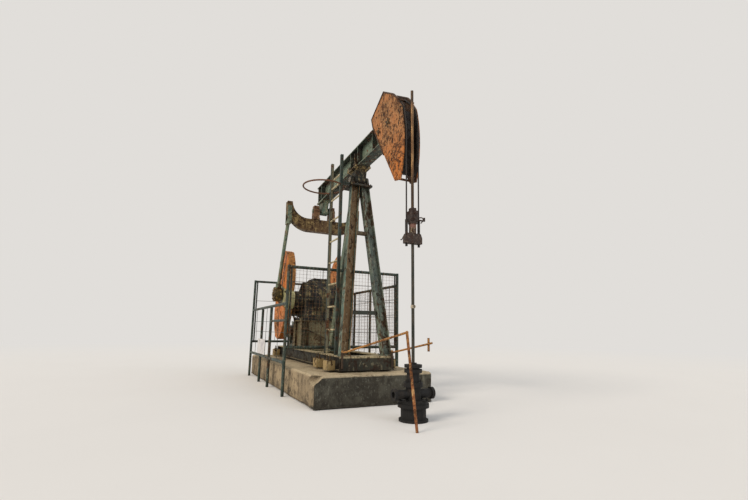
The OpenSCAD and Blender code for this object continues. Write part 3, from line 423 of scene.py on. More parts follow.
FINISH = {
    "concrete": concrete("concrete"),
    "skid_paint": worn_metal("skid_paint", rgb("#272922"), rgb("#3a3a30"), rust=rgb("#3a2f24"), amount=0.30,
                             spots=1.2, streaks=0.8, dust=rgb("#7f7962"),
                             zones=[(facing(Z), rgb("#b5a582"), 0.8), (skid_rim_dust_and_highlight, rgb("#c0b08a"), 0.95)]),
    "block_paint": worn_metal("block_paint", rgb("#c0a670"), rgb("#a48d61"), amount=0.25, spots=0.8, edge=0.9,
                              dust=rgb("#cdbb92")),
    "green_paint": worn_metal("green_paint", rgb("#566a5c"), rgb("#7d8a72"), amount=0.30, spots=0.9, streaks=0.7),
    "brown_paint": worn_metal("brown_paint", rgb("#745439"), rgb("#8a6b48"), amount=0.45, spots=1.1),
    "dark_paint": worn_metal("dark_paint", rgb("#34342c"), rgb("#5a5038"), rust=rgb("#5f4529"), amount=0.42,
                             spots=1.0, streaks=0.5, dust=rgb("#9a865a")),
    "worn_steel": worn_metal("worn_steel", rgb("#7d766b"), rgb("#5a5148"), amount=0.4, spots=0.4, gloss=(0.3, 0.7)),
    "ladder_paint": worn_metal("ladder_paint", rgb("#25332f"), rgb("#38433c"), amount=0.26, spots=0.8,
                               dust=rgb("#5b5f50"), zones=[(rungs, rgb("#c2b48f"), 0.95),
                                                           (hoop, rgb("#6b4630"), 0.95)]),
    "pedestal_paint": worn_metal("pedestal_paint", rgb("#6f6a50"), rgb("#82785a"), rust=rgb("#5c4a35"), amount=0.32,
                                 spots=0.9, streaks=0.9, size=1.8, dust=rgb("#a29670")),
    "greasy_iron": greasy_iron("greasy_iron", rgb("#121411"), rgb("#5e5639"), rgb("#0e0e0c"), crust=rgb("#b09c6c"),
                               share=0.62),
    # On faces that look to +X the orange is laid duller and browner: painted shade on those faces.
    "orange_paint": worn_metal("orange_paint", rgb("#c66c24"), rgb("#bd742c"), rust=rgb("#7f4c25"), amount=0.36,
                               spots=0.9, streaks=0.6, size=1.35, zones=[(facing(X), rgb("#8d6a40"), 0.75)],
                               dust=rgb("#dda566")),
    "motor_paint": worn_metal("motor_paint", rgb("#4c5a4f"), rgb("#5f665a"), amount=0.45, spots=0.9),
    "guard_paint": worn_metal("guard_paint", rgb("#2d3b35"), rgb("#3e4b44"), rust=rgb("#54402d"), amount=0.30,
                              spots=0.7, size=1.6, dust=rgb("#7d8371")),
    # Laid near black: dark greasy iron, darkened further as painted shade.
    "well_iron": greasy_iron("well_iron", rgb("#12110f"), rgb("#26211c"), rgb("#0c0b0a"), wet=0.3,
                             crust=rgb("#4e3b2a"), share=0.25),
    "barrier_paint": worn_metal("barrier_paint", rgb("#ae7a40"), rgb("#9a6c3c"), rust=rgb("#734828"), amount=0.4,
                                spots=0.8, size=1.6, dust=rgb("#cfa871"),
                                zones=[(front_post, rgb("#8c5431"), 0.85)],
                                cover=(barrier_feet, rgb("#38302a"), 0.92)),
    "crank_paint": worn_metal("crank_paint", rgb("#b4b07f"), rgb("#9b986d"), amount=0.22, spots=0.8, streaks=0.5,
                              dust=rgb("#cdc9a0")),
    "wire_rope": wire_rope("wire_rope"),
}
ROD_FINISH = rod_steel("rod_steel")
OWN_FINISH = {
    "polished_rod": ROD_FINISH,
    "rod_string": ROD_FINISH,
    "stuffing_box": FINISH["well_iron"],
    # Between the cheeks the head is laid dark brown: painted shade in the recess. Its edges are darkened in full,
    # partly as painted shade.
    "horsehead": worn_metal("head_paint", rgb("#a86c3a"), rgb("#997045"), rust=rgb("#6f4629"), deep=rgb("#2a1b13"),
                            amount=0.42, spots=1.3, streaks=0.7, edge=1.0, size=1.6, dust=rgb("#c28d5b"),
                            zones=[(low_head, rgb("#bf6c20"), 0.9)], cover=(inside_head, rgb("#2a2018"), 0.85)),
    # The track between the cheeks is laid near black: painted shade in the recess.
    "head_track": worn_metal("track_painted_shade", rgb("#17110c"), rgb("#201811"), rust=rgb("#261b13"), deep=rgb("#0d0a08"),
                             amount=0.45, spots=1.0, size=1.3, dust=rgb("#43321f")),
    "carrier_bar": worn_metal("carrier_paint", rgb("#372d28"), rgb("#42372f"), rust=rgb("#43312a"), amount=0.4,
                              spots=0.8, size=2, dust=rgb("#7a6a5c")),
    "rod_clamp": worn_metal("clamp_paint", rgb("#352d29"), rgb("#463c36"), rust=rgb("#43312a"), amount=0.4,
                            spots=0.8, size=2, dust=rgb("#5f534b")),
    "wrist_bearings": worn_metal("wrist_paint", rgb("#4b452f"), rgb("#7d6a3a"), rust=rgb("#77562c"), amount=0.42,
                                 spots=0.9, size=1.3, dust=rgb("#c4a860")),
    "post_leg_left": worn_metal("left_leg_paint", rgb("#4d625a"), rgb("#6d8275"), amount=0.30, spots=1.2,
                                streaks=0.8, zones=[(facing(X), rgb("#83633c"), 0.9)]),
    "post_leg_right": worn_metal("right_leg_paint", rgb("#55615a"), rgb("#7f8b7a"), rust=rgb("#5f4a34"), amount=0.38,
                                 spots=1.1, streaks=1.0, dust=rgb("#a5a38f")),
    "equalizer_beam": worn_metal("equalizer_paint", rgb("#5c4529"), rgb("#77623c"), rust=rgb("#443220"), amount=0.44,
                                 spots=1.2, size=1.2, dust=rgb("#b39a66")),
    # Pale tan patches on the saddle's upper part: painted highlights.
    "saddle_bearing": worn_metal("saddle_paint", rgb("#242620"), rgb("#363328"), rust=rgb("#382b20"), amount=0.4,
                                 spots=1.1, zones=[(under_beam, rgb("#bda470"), 0.8)], dust=rgb("#8d8161")),
    "post_cap": worn_metal("cap_paint", rgb("#2b2d28"), rgb("#413f33"), amount=0.4, spots=1.1,
                           zones=[(facing(Z), rgb("#8f8060"), 0.6)], dust=rgb("#857754")),
    "post_braces": worn_metal("brace_paint", rgb("#4f4234"), rgb("#5f5442"), rust=rgb("#4a3826"), amount=0.3,
                              spots=0.8, zones=[(low_brace, rgb("#353b34"), 0.95)], dust=rgb("#6f6a52")),
    # The beam is laid dark and its side faces pale green: the dark flanges are painted shade.
    "walking_beam": worn_metal("beam_paint", rgb("#2b352f"), rgb("#3a433b"), amount=0.34, spots=0.9, streaks=0.6,
                               dust=rgb("#8b8f79"), zones=[(side_faces, rgb("#70806d"), 0.85)]),
    "rod_spacer": worn_metal("spacer_paint", rgb("#8d6a60"), rgb("#755248"), amount=0.35, spots=0.6, size=2,
                             zones=[(low_spacer, rgb("#3b2f29"), 0.95)]),
}

for part in frame["record"]["subparts"]:
    materials = frame["nodes"][part["node"]].data.materials
    materials.clear()
    materials.append(OWN_FINISH.get(part["node"]) or FINISH[part["material_slot"]])


# ---------------------------------------------------------------- mesh building

def make_object(name, bm, material, smooth=False):
    """Turns a bmesh into an object of the scene."""
    mesh = bpy.data.meshes.new(name)
    bm.to_mesh(mesh)
    bm.free()
    mesh.materials.append(material)
    if smooth:
        mesh.shade_smooth()
    made = bpy.data.objects.new(name, mesh)
    bpy.context.scene.collection.objects.link(made)
    return made


def add_piece(name, bm, body, slot, material=None, smooth=False):
    """Turns a bmesh into a piece that rides on a body; the slot gives its material where none is named."""
    piece = make_object(name, bm, material or FINISH[slot], smooth)
    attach(piece, body)


def facing_matrix(place, direction):
    """Matrix whose origin is at place and whose Z looks along direction."""
    return Matrix.Translation(place) @ Vector(direction).to_track_quat("Z", "X").to_matrix().to_4x4()


def round_angles(count, phase=0.0):
    """Angles that part a full turn evenly."""
    return [2 * math.pi * (k + phase) / count for k in range(count)]


def add_skin(bm, rings):
    """Faces between rings of vertices, closed at both ends."""
    for a, b in zip(rings, rings[1:]):
        for k in range(len(a)):
            bm.faces.new((a[k], a[(k + 1) % len(a)], b[(k + 1) % len(a)], b[k]))
    bm.faces.new(rings[0][::-1])
    bm.faces.new(rings[-1])


def add_turned(bm, at, sides, profile):
    """Closed solid about the Z of a matrix; profile lists (radius, height) from its foot to its top."""
    add_skin(bm, [[bm.verts.new(at @ Vector((r * math.cos(a), r * math.sin(a), z))) for a in round_angles(sides)]
                  for r, z in profile])


def add_bolt(bm, place, direction, r, stud=0.0):
    """Washer, chamfered hexagon head and the end of the stud, standing on a face."""
    at = facing_matrix(place, direction) @ Matrix.Rotation(rng.uniform(0, 1), 4, "Z")
    add_turned(bm, at, 16, [(r * 1.75, -0.001), (r * 1.75, r * 0.25)])
    add_turned(bm, at, 6, [(r, r * 0.2), (r, r * 0.95), (r * 0.72, r * 1.15)])
    if stud:
        add_turned(bm, at, 10, [(r * 0.5, r), (r * 0.45, r + stud)])


def add_bolt_grid(bm, xs, ys, z, r, stud=0.0):
    """Upright bolts at one height, at each x and each y."""
    for x in xs:
        for y in ys:
            add_bolt(bm, (x, y, z), UP, r, stud)


def add_bolt_circle(bm, centre, direction, radius, count, r, stud=0.0, phase=0.0):
    """Bolts spread evenly on a circle about a direction."""
    at = facing_matrix(centre, direction)
    for a in round_angles(count, phase):
        add_bolt(bm, at @ Vector((radius * math.cos(a), radius * math.sin(a), 0)), direction, r, stud)


def add_tube(bm, points, r, sides=10):
    """Round tube along a path, closed at both ends."""
    points = [Vector(p) for p in points]
    rings = []
    normal = None
    for i, p in enumerate(points):
        along = (points[min(i + 1, len(points) - 1)] - points[max(i - 1, 0)]).normalized()
        if normal is None:
            normal = along.orthogonal().normalized()
        normal = (normal - along * normal.dot(along)).normalized()
        side = along.cross(normal)
        rings.append([bm.verts.new(p + r * (math.cos(a) * normal + math.sin(a) * side))
                      for a in round_angles(sides)])
    add_skin(bm, rings)


def add_block(bm, low, high, matrix=Matrix(), bevel=0.003):
    """Box between two corners with softened edges."""
    low, high = Vector(low), Vector(high)
    made = bmesh.ops.create_cube(bm, size=1, matrix=matrix @ Matrix.Translation((low + high) / 2)
                                 @ Matrix.Diagonal((*(high - low), 1)))
    if bevel:
        edges = {e for v in made["verts"] for e in v.link_edges}
        bmesh.ops.bevel(bm, geom=list(edges), offset=bevel, segments=1, affect="EDGES")


# ---------------------------------------------------------------- fine mesh of the guards

MESH_PITCH = 0.050
MESH_WIRE = 0.0030
MESH_OUT = 0.0225
TIE_WIRE = 0.0036
TIE_R = 0.0228
MESH_FINISH = worn_metal("mesh_rust", rgb("#8d6745"), rgb("#6f5238"), amount=0.5, spots=0.3, edge=0, size=3)


def wire_panel(name, corner, along, length, height):
    """Woven wire mesh that fills a guard frame; corner is its lowest point and along its direction."""
    corner, along, up = Vector(corner), Vector(along), Vector(UP)
    out = along.cross(up)
    columns, rows = round(length / MESH_PITCH), round(height / MESH_PITCH)

    def bulge(u, v):
        """How far the mesh stands out of its plane."""
        return 0.006 * math.sin(3.1 * u + 1.3 * v) * math.sin(math.pi * v / height)

    def place(u, v, side):
        """Point of a wire that passes over the wire it crosses, or under it with a side of -1."""
        return corner + along * u + up * v + out * (bulge(u, v) + side * MESH_WIRE * 0.4)

    bm = bmesh.new()
    for i in range(1, columns):
        u = length * i / columns
        add_tube(bm, [place(u, height * k / rows, (-1) ** (i + k)) for k in range(rows + 1)], MESH_WIRE / 2, 4)
    for j in range(1, rows):
        v = height * j / rows
        add_tube(bm, [place(length * k / columns, v, (-1) ** (j + k + 1)) for k in range(columns + 1)],
                 MESH_WIRE / 2, 4)
    add_piece(name, bm, "frame", "guard_paint", MESH_FINISH)


def add_tie(bm, place, along, out):
    """Wire tie that holds the mesh on a pipe: one slightly skewed turn round it."""
    place, along, out = Vector(place), Vector(along), Vector(out)
    add_tube(bm, [place + along * (0.004 * math.sin(a / 2)) + out * (TIE_R * math.cos(a))
                  + Vector(UP) * (TIE_R * math.sin(a)) for a in round_angles(14)], TIE_WIRE / 2, 5)


SIDE_LENGTH = GUARD_FRONT_X - GUARD_REAR_X
wire_panel("mesh_front", (GUARD_FRONT_X + MESH_OUT, -GUARD_Y, FRONT_LOW), (0, 1, 0), 2 * GUARD_Y,
           FRONT_HIGH - FRONT_LOW)
wire_panel("mesh_right", (GUARD_REAR_X, GUARD_Y - MESH_OUT, SIDE_LOW), (1, 0, 0), SIDE_LENGTH, SIDE_HIGH - SIDE_LOW)


# ---------------------------------------------------------------- bolts and small fittings

# Post: feet and heads of the front legs, and the rear leg's foot.
bm = bmesh.new()
for s in (-1, 1):
    add_bolt_grid(bm, (LEG_X - 0.045, LEG_X + 0.045), (s * (LEG_Y - 0.05225), s * (LEG_Y + 0.05225)),
                  SKID_TOP + 0.015, 0.011, 0.012)
    add_bolt_grid(bm, (-0.165, 0.100), (s * 0.060, s * 0.145), CAP_Z + 0.025, 0.012, 0.012)
add_bolt_grid(bm, (REAR_LEG_X - 0.045, REAR_LEG_X + 0.045), (-0.055, 0.055), SKID_TOP + 0.015, 0.011, 0.012)
add_piece("post_bolts", bm, "frame", "dark_paint")

# Reducer: feet, covers of both shafts' bearings, split flange and lid on top.
bm = bmesh.new()
for s in (-1, 1):
    add_bolt_grid(bm, (-1.420, -1.560, -1.700, -1.840), (s * 0.335,), 1.0423, 0.013, 0.014)
    add_bolt_circle(bm, (SHAFT.x, s * 0.327, SHAFT.z), (0, s, 0), 0.150, 12, 0.006, phase=0.25)
    add_bolt_circle(bm, (FAST_X, s * 0.290, FAST_Z), (0, s, 0), 0.068, 6, 0.006)
    add_bolt_grid(bm, (-1.370, -1.455, -1.905, -1.990, -2.075), (s * 0.276,), 1.374, 0.008, 0.010)
add_bolt_grid(bm, (-1.775, -1.680, -1.585), (-0.098, 0.098), 1.718, 0.009)
add_piece("reducer_bolts", bm, "frame", "greasy_iron")

# Skid on the concrete base.
bm = bmesh.new()
for x in (0.180, -0.230, -2.760):
    for s in (-1, 1):
        add_bolt_grid(bm, (x + 0.055, x - 0.055), (s * 0.432,), 0.490, 0.016, 0.045)
add_piece("hold_down_bolts", bm, "frame", "dark_paint")

# Well: flanges of the casing head and the tee, and the tee's side flanges.
bm = bmesh.new()
for radius, z, count, r in ((0.133, 0.1915, 8, 0.013), (0.082, 0.3645, 6, 0.008), (0.077, 0.5108, 6, 0.008)):
    add_bolt_circle(bm, (ROD_X, 0, z), UP, radius, count, r, 0.012, 0.5)
for s in (-1, 1):
    add_bolt_circle(bm, (ROD_X, s * 0.195, 0.2528), (0, -s, 0), 0.050, 6, 0.006, phase=0.5)
add_piece("well_bolts", bm, "frame", "well_iron")

# Beam: the horsehead's two pins, and the saddle bearing under the lower flange.
bm = bmesh.new()
for x in (0.860, 1.110):
    for s in (-1, 1):
        add_bolt_circle(bm, BEAM @ Vector((x, s * 0.105, BEAM_RISE + BEAM_D / 2)), (0, s, 0), 0.048, 6, 0.007)
for x in (-0.140, 0.140):
    for s in (-1, 1):
        p = BEAM @ Vector((x, s * 0.097, BEAM_RISE + 0.0455))
        add_bolt(bm, p, BEAM.to_3x3() @ Vector(UP), 0.010, 0.015)
add_piece("beam_bolts", bm, "beam", "dark_paint")

# Caps of the equalizer's bearings, and covers of the wrist bearings.
bm = bmesh.new()
for s in (-1, 1):
    add_bolt_grid(bm, (TAIL_X - 0.072, TAIL_X + 0.072), (s * 0.115, s * 0.167), TAIL_Z + 0.017, 0.009, 0.012)
wrist = SHAFT + Vector((-WRIST_R * math.cos(CRANK_UP), 0, WRIST_R * math.sin(CRANK_UP)))
for s in (-1, 1):
    add_bolt_circle(bm, (wrist.x, s * WRIST_FACE, wrist.z), (0, s, 0), 0.106, 8, 0.009, 0.008)
add_piece("equalizer_bolts", bm, "equalizer", "dark_paint")

# Outer faces of the crank arms, near both ends.
bm = bmesh.new()
for s in (-1, 1):
    for x in (0.120, 0.640):
        for z in (-0.105, 0.105):
            add_bolt(bm, CRANK @ Vector((x, s * CRANK_FACE, z)), (0, s, 0), 0.018, 0.02)
add_piece("crank_bolts", bm, "cranks", "dark_paint")

# Forks of the pitmans, on both outer faces.
FORK_FACE = 0.0793
bm = bmesh.new()
for s in (-1, 1):
    for z in (2.700, 2.860):
        for side in (-1, 1):
            add_bolt(bm, (TAIL_X + side * FORK_FACE, s * PITMAN_Y, z), (side, 0, 0), 0.015, 0.012)
add_piece("fork_bolts", bm, "equalizer", "green_paint")

# Rod clamp: two bolts across it and four screws on top.
CLAMP_FACE = 0.0478
bm = bmesh.new()
for z in (2.0406, 2.0986):
    for side in (-1, 1):
        add_bolt(bm, (ROD_X + side * CLAMP_FACE, 0, z), (side, 0, 0), 0.0175, 0.004)
add_bolt_grid(bm, (ROD_X - 0.030, ROD_X + 0.030), (-0.026, 0.026), 2.1305, 0.006)
add_piece("clamp_bolts", bm, "rod", "greasy_iron", OWN_FINISH["rod_clamp"])

# Hook at the carrier's left end and bent lever at its right; each x is counted from the rod's axis.
HOOK = ((0.020, -0.084, 1.862), (0.024, -0.103, 1.866), (0.027, -0.114, 1.858), (0.028, -0.126, 1.838),
        (0.029, -0.138, 1.815), (0.029, -0.149, 1.796), (0.029, -0.157, 1.792), (0.029, -0.162, 1.799))
LEVER = ((0.035, 0.036, 2.048), (0.035, 0.062, 2.056), (0.035, 0.088, 2.062), (0.035, 0.106, 2.058),
         (0.035, 0.113, 2.046), (0.035, 0.108, 2.030), (0.035, 0.095, 2.012), (0.035, 0.083, 1.999))
bm = bmesh.new()
for path, r in ((HOOK, 0.0052), (LEVER, 0.0065)):
    add_tube(bm, [(ROD_X + x, y, z) for x, y, z in path], r)
add_piece("carrier_hook", bm, "rod", "greasy_iron", OWN_FINISH["carrier_bar"], smooth=True)

# Belt guard: screws round both ends of the cover and along its two sides.
BELT_FACE = 0.3603
BIG_R, SMALL_R = 0.172, 0.107
# In the XZ plane: from the fast shaft to the motor, and the unit vector square to that.
BELT_RUN = Vector((MOTOR_X - FAST_X, MOTOR_Z - FAST_Z))
BELT_ACROSS = Vector((0.534, -0.846))
bm = bmesh.new()
for x, z, radius, first, apart, count in ((FAST_X, FAST_Z, BIG_R, -58, 22.5, 9),
                                          (MOTOR_X, MOTOR_Z, SMALL_R, 130, 33, 6)):
    for a in (math.radians(first + apart * k) for k in range(count)):
        add_bolt(bm, (x + radius * math.cos(a), BELT_FACE, z + radius * math.sin(a)), (0, 1, 0), 0.007)
for u in (0.25, 0.45, 0.65):
    for side in (-1, 1):
        x, z = Vector((FAST_X, FAST_Z)) + BELT_RUN * u + BELT_ACROSS * side * (BIG_R - (BIG_R - SMALL_R) * u)
        add_bolt(bm, (x, BELT_FACE, z), (0, 1, 0), 0.007)
add_piece("belt_guard_bolts", bm, "frame", "dark_paint")

# Motor: lid of the terminal box with its screws, lifting eye and foot bolts.
LID_Y = -0.087
LID_HALF = 0.068
SCREW_OUT = 0.057
EYE_R = 0.024
bm = bmesh.new()
add_block(bm, (MOTOR_X - LID_HALF, LID_Y - LID_HALF, 0.9945), (MOTOR_X + LID_HALF, LID_Y + LID_HALF, 1.002),
          bevel=0.002)
add_bolt_grid(bm, (MOTOR_X - SCREW_OUT, MOTOR_X + SCREW_OUT), (LID_Y - SCREW_OUT, LID_Y + SCREW_OUT), 1.0015, 0.005)
add_tube(bm, [(MOTOR_X + EYE_R * math.cos(a), 0.095, 0.957 + EYE_R * math.sin(a))
              for a in (math.radians(-90 + 20 * k) for k in range(19))], 0.006, 8)
add_bolt_grid(bm, (MOTOR_X - 0.180, MOTOR_X + 0.180), (-0.120, 0.080), SKID_TOP + 0.0483, 0.010, 0.012)
add_piece("motor_fittings", bm, "frame", "motor_paint")

# Foot of the pedestal on the skid.
bm = bmesh.new()
for s in (-1, 1):
    add_bolt_grid(bm, (-1.500, -1.605, -1.710), (s * 0.339,), SKID_TOP + 0.0135, 0.010, 0.014)
add_piece("pedestal_bolts", bm, "frame", "pedestal_paint")

# Wire ties along the upper and lower pipes of the two guards with mesh.
bm = bmesh.new()
for k in range(1, 14):
    for z in (FRONT_HIGH, FRONT_LOW):
        add_tie(bm, (GUARD_FRONT_X, GUARD_Y * (2 * k / 14 - 1), z), (0, 1, 0), (1, 0, 0))
for k in range(1, 20):
    for z in (SIDE_HIGH, SIDE_LOW):
        add_tie(bm, (GUARD_REAR_X + SIDE_LENGTH * k / 20, GUARD_Y, z), (1, 0, 0), (0, 1, 0))
add_piece("mesh_ties", bm, "frame", "guard_paint", MESH_FINISH)

# Clips on both sides of the ladder's rails, on the skid.
CLIP_IN, CLIP_OUT = 0.019, 0.025
CLIP_HALF = 0.022
bm = bmesh.new()
for x in (LADDER_X - LADDER_HALF, LADDER_X + LADDER_HALF):
    for side in (-1, 1):
        low, high = sorted((x + side * CLIP_IN, x + side * CLIP_OUT))
        add_block(bm, (low, LADDER_Y - CLIP_HALF, SKID_TOP), (high, LADDER_Y + CLIP_HALF, SKID_TOP + 0.070),
                  bevel=0.001)
        add_bolt(bm, (x + side * CLIP_OUT, LADDER_Y, SKID_TOP + 0.045), (side, 0, 0), 0.007)
add_piece("ladder_clips", bm, "frame", "ladder_paint")

# Brackets on the beam's web above the saddle: a plate with its bolts and a rib on each side.
WEB_FACE = 0.0045
PLATE_FACE = WEB_FACE + 0.010
bm = bmesh.new()
for s in (-1, 1):
    low, high = sorted((s * WEB_FACE, s * PLATE_FACE))
    add_block(bm, (-0.040, low, BEAM_RISE + 0.030), (0.050, high, BEAM_RISE + BEAM_D - 0.035), BEAM, 0.002)
    low, high = sorted((s * (PLATE_FACE - 0.002), s * 0.072))
    add_block(bm, (-0.006, low, BEAM_RISE + 0.060), (0.006, high, BEAM_RISE + BEAM_D - 0.060), BEAM, 0.002)
    for x in (-0.026, 0.036):
        for z in (0.055, 0.110, 0.190, 0.245):
            add_bolt(bm, BEAM @ Vector((x, s * PLATE_FACE, BEAM_RISE + z)), (0, s, 0), 0.007, 0.006)
add_piece("beam_brackets", bm, "beam", "dark_paint")


# ---------------------------------------------------------------- ropes on the horsehead, rod collar, sign

# The ropes' way on the horsehead, in the beam's frame: up the track, then over the top to an anchor behind it.
ARC_LOW, ARC_SPAN, ARC_STEPS = -7.5, 21.5, 24
OVER_TOP = ((1.395, 0.440), (1.320, 0.515), (1.222, 0.612), (1.180, 0.622))

bm = bmesh.new()
for s in (-1, 1):
    r = HEAD_R + ROPE_D / 2
    angles = [math.radians(ARC_LOW + ARC_SPAN * k / ARC_STEPS) for k in range(ARC_STEPS + 1)]
    path = [(r * math.cos(a), r * math.sin(a)) for a in angles] + list(OVER_TOP)
    add_tube(bm, [BEAM @ Vector((x, s * ROPE_Y, z)) for x, z in path], ROPE_D / 2, 12)
add_piece("head_ropes", bm, "beam", "wire_rope", smooth=True)

# Flat bars on the rear and top edges of the head's cheeks, along a line in the beam's frame.
RIM = [Vector(p) for p in ((0.999, -0.048), (0.708, 0.463), (0.668, 0.595), (1.006, 0.792), (1.245, 0.623),
                           (1.372, 0.480))]
RIM_T = 0.015
RIM_W = 0.026
CHEEK_MID = 0.099


def rim_offset(i, d):
    """Corner i of the rim's line, moved out of the cheek by d, with mitred corners."""
    turns = [(RIM[k + 1] - RIM[k]).normalized() for k in (i - 1, i) if 0 <= k < len(RIM) - 1]
    outs = [Vector((-a.y, a.x)) for a in turns]
    out = (outs[0] + outs[-1]).normalized()
    return RIM[i] + out * (d / out.dot(outs[0]))


bm = bmesh.new()
for s in (-1, 1):
    rings = []
    for i in range(len(RIM)):
        low, high = rim_offset(i, -0.002), rim_offset(i, RIM_T)
        rings.append([bm.verts.new(BEAM @ Vector((p.x, s * CHEEK_MID + e * RIM_W / 2, p.y)))
                      for p, e in ((low, -1), (high, -1), (high, 1), (low, 1))])
    add_skin(bm, rings)
bmesh.ops.recalc_face_normals(bm, faces=bm.faces)
bmesh.ops.bevel(bm, geom=list(bm.edges), offset=0.002, segments=1, affect="EDGES")
# The bars are laid near black-brown against the orange cheeks: painted shade on the cheeks' edges.
add_piece("head_rims", bm, "beam", "orange_paint",
          worn_metal("head_rim_shade", rgb("#38291e"), rgb("#4a3524"), rust=rgb("#5a3b24"), amount=0.4, spots=0.9,
                     size=1.5, dust=rgb("#8f6038")))

# Two-part collar on the rod, with its screws.
COLLAR_Z = 1.110
bm = bmesh.new()
add_turned(bm, Matrix.Translation((ROD_X, 0, COLLAR_Z)), 32,
           [(0.019, -0.017), (0.023, -0.013), (0.023, 0.013), (0.019, 0.017)])
for s in (-1, 1):
    add_block(bm, (ROD_X + 0.017, -0.004 + s * 0.008, COLLAR_Z - 0.011),
              (ROD_X + 0.033, 0.004 + s * 0.008, COLLAR_Z + 0.011), bevel=0.001)
    add_bolt(bm, (ROD_X + 0.027, s * 0.0120, COLLAR_Z), (0, s, 0), 0.004)
add_piece("rod_collar", bm, "rod", "worn_steel",
          worn_metal("collar_metal", rgb("#c9c0ac"), rgb("#a89d88"), amount=0.3, spots=0.4, size=3))


def sign_finish():
    """Sun-bleached enamel plate with nothing on it, chipped and rusty at its rim."""
    s = Shader("sign_enamel", specular=0.5)
    blotch = s.noise(9, 8, 0.65)
    colour = s.mix(s.step(blotch, 0.42, 0.62), rgb("#d6d3cf"), rgb("#b3aeb2"))
    colour = s.mix(s.times(s.edges(0.012), s.step(blotch, 0.40, 0.55)), colour, RUST)
    colour = s.mix(s.step(s.noise(30, 6, 0.7), 0.62, 0.68), colour, RUST)
    s.feed(s.bsdf.inputs["Base Color"], colour)
    s.feed(s.bsdf.inputs["Roughness"], s.plus(s.times(blotch, 0.4), 0.25))
    s.bump(blotch, 0.3)
    return s.material


SIGN_X, SIGN_Y, SIGN_Z = -2.220, -GUARD_Y - 0.0215, 0.455
SIGN_W, SIGN_H, SIGN_T = 0.610, 0.240, 0.0012
COLUMNS, ROWS = 24, 12


def sign_point(u, v, side):
    """Point of the sign's inner (0) or outer (1) face; the sheet is slightly dished and has one lifted corner."""
    out = 0.003 * math.sin(math.pi * u) * math.sin(math.pi * v) + 0.012 * max(0.0, u + v - 1.55) ** 2
    return Vector((SIGN_X + SIGN_W * u, SIGN_Y - out - side * SIGN_T, SIGN_Z + SIGN_H * v))


# Blank sign of sheet metal, bolted to the left guard.
bm = bmesh.new()
inner, outer = ([[bm.verts.new(sign_point(i / COLUMNS, j / ROWS, side)) for i in range(COLUMNS + 1)]
                 for j in range(ROWS + 1)] for side in (0, 1))
for grid, turn in ((inner, -1), (outer, 1)):
    for j in range(ROWS):
        for i in range(COLUMNS):
            bm.faces.new((grid[j][i], grid[j][i + 1], grid[j + 1][i + 1], grid[j + 1][i])[::turn])
rim = [(0, i) for i in range(COLUMNS)] + [(j, COLUMNS) for j in range(ROWS)]
rim += [(ROWS, i) for i in range(COLUMNS, 0, -1)] + [(j, 0) for j in range(ROWS, 0, -1)]
for (j0, i0), (j1, i1) in zip(rim, rim[1:] + rim[:1]):
    bm.faces.new((inner[j0][i0], inner[j1][i1], outer[j1][i1], outer[j0][i0]))
for v in (0.10, 0.90):
    add_bolt(bm, sign_point(0.295, v, 1), (0, -1, 0), 0.005)
bmesh.ops.recalc_face_normals(bm, faces=bm.faces)
add_piece("blank_sign", bm, "frame", "guard_paint", sign_finish())


# ---------------------------------------------------------------- rough surface of the concrete

VOXEL = 0.017
base = frame["nodes"]["concrete_base"]
remesh = base.modifiers.new("remesh", "REMESH")
remesh.mode = "VOXEL"
remesh.voxel_size = VOXEL
# The surface only moves inwards, so the base stays in its own box.
for scale, depth in ((0.30, 0.028), (0.06, 0.010)):
    clouds = bpy.data.textures.new("clouds", "CLOUDS")
    clouds.noise_scale = scale
    clouds.noise_depth = 3
    rough = base.modifiers.new("rough", "DISPLACE")
    rough.texture = clouds
    rough.texture_coords = "LOCAL"
    rough.mid_level = 1.0
    rough.strength = depth


# ---------------------------------------------------------------- floor, light and camera

def floor_finish():
    """Pale floor that passes into the plain backdrop far from the object."""
    s = Shader("floor", specular=0.1)
    s.feed(s.bsdf.inputs["Base Color"], s.mix(s.noise(0.8, 3, 0.5), rgb("#ecebe8"), rgb("#e9e8e5")))
    s.bsdf.inputs["Roughness"].default_value = 0.9
    length = s.node("ShaderNodeVectorMath", operation="LENGTH")
    s.feed(length.inputs[0], s.place)
    far = s.step(length.outputs["Value"], 7.0, 22.0)
    glow = s.node("ShaderNodeEmission")
    glow.inputs["Color"].default_value = BACKDROP
    blend = s.node("ShaderNodeMixShader")
    s.feed(blend.inputs[0], far)
    s.feed(blend.inputs[1], s.bsdf.outputs[0])
    s.feed(blend.inputs[2], glow.outputs[0])
    out = next(n for n in s.tree.nodes if n.type == "OUTPUT_MATERIAL")
    s.feed(out.inputs["Surface"], blend.outputs[0])
    return s.material


bm = bmesh.new()
bmesh.ops.create_circle(bm, cap_ends=True, segments=96, radius=80)
floor = make_object("floor", bm, floor_finish())

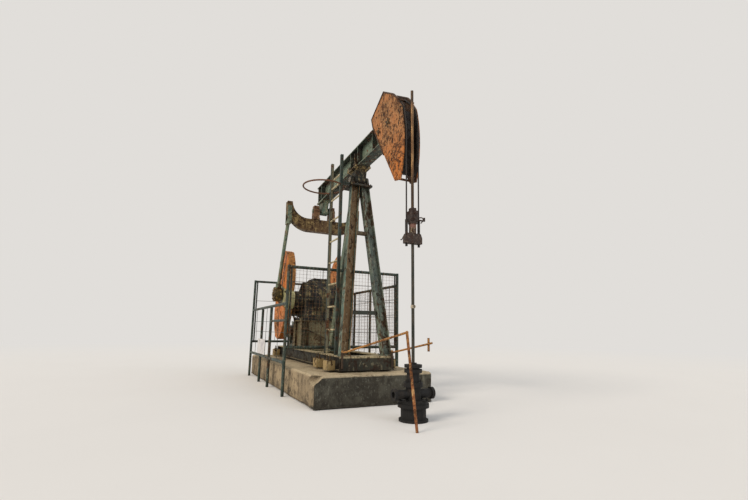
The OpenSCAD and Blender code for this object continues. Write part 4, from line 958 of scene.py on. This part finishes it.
# Lit by a soft sky; the camera, metal and glass see the plain backdrop instead.
world = bpy.data.worlds.new("studio")
bpy.context.scene.world = world
world.use_nodes = True
nodes, links = world.node_tree.nodes, world.node_tree.links
nodes.clear()
out = nodes.new("ShaderNodeOutputWorld")
rays = nodes.new("ShaderNodeLightPath")
seen = nodes.new("ShaderNodeMath")
seen.operation = "MAXIMUM"
mirrored = nodes.new("ShaderNodeMath")
mirrored.operation = "MAXIMUM"
links.new(rays.outputs["Is Glossy Ray"], mirrored.inputs[0])
links.new(rays.outputs["Is Transmission Ray"], mirrored.inputs[1])
links.new(rays.outputs["Is Camera Ray"], seen.inputs[0])
links.new(mirrored.outputs[0], seen.inputs[1])
sky = nodes.new("ShaderNodeBackground")
sky.inputs["Color"].default_value = rgb("#f1f0ef")
sky.inputs["Strength"].default_value = 0.62
shown = nodes.new("ShaderNodeBackground")
shown.inputs["Color"].default_value = BACKDROP
blend = nodes.new("ShaderNodeMixShader")
links.new(seen.outputs[0], blend.inputs[0])
links.new(sky.outputs[0], blend.inputs[1])
links.new(shown.outputs[0], blend.inputs[2])
links.new(blend.outputs[0], out.inputs["Surface"])


def add_sun(name, place, strength, angle, colour):
    """Soft sun that shines from a place towards the origin; angle is its width in degrees."""
    lamp = bpy.data.lights.new(name, "SUN")
    lamp.energy = strength
    lamp.angle = math.radians(angle)
    lamp.color = rgb(colour)[:3]
    made = bpy.data.objects.new(name, lamp)
    bpy.context.scene.collection.objects.link(made)
    made.matrix_world = facing_matrix(place, place)


add_sun("key", (2.5, -9.0, 7.0), 1.7, 24, "#fff3e4")
add_sun("fill", (9.0, 5.0, 6.0), 0.5, 40, "#eef2ff")

# The camera stands beyond the well, on the side of -Y and less than a metre up, and looks slightly upwards.
CAMERA_PLACE = Vector((5.150, -2.203, 0.871))
YAW, PITCH, ROLL = (math.radians(a) for a in (25.563, 11.025, 0.815))
FOCAL_PX = 408.85
FRAME_PX = 748
SENSOR = 36

level = Vector((-math.cos(YAW), math.sin(YAW), 0))
right = Vector((math.sin(YAW), math.cos(YAW), 0))
forward = math.cos(PITCH) * level + Vector((0, 0, math.sin(PITCH)))
up = Vector((0, 0, math.cos(PITCH))) - math.sin(PITCH) * level
right, up = math.cos(ROLL) * right + math.sin(ROLL) * up, math.cos(ROLL) * up - math.sin(ROLL) * right
camera = bpy.data.objects.new("camera", bpy.data.cameras.new("camera"))
bpy.context.scene.collection.objects.link(camera)
turn = Matrix((right, up, -forward)).transposed().to_4x4()
camera.matrix_world = Matrix.Translation(CAMERA_PLACE) @ turn
camera.data.sensor_width = SENSOR
camera.data.lens = FOCAL_PX * SENSOR / FRAME_PX
camera.data.clip_end = 300
bpy.context.scene.camera = camera
bpy.context.scene.view_settings.view_transform = "Standard"
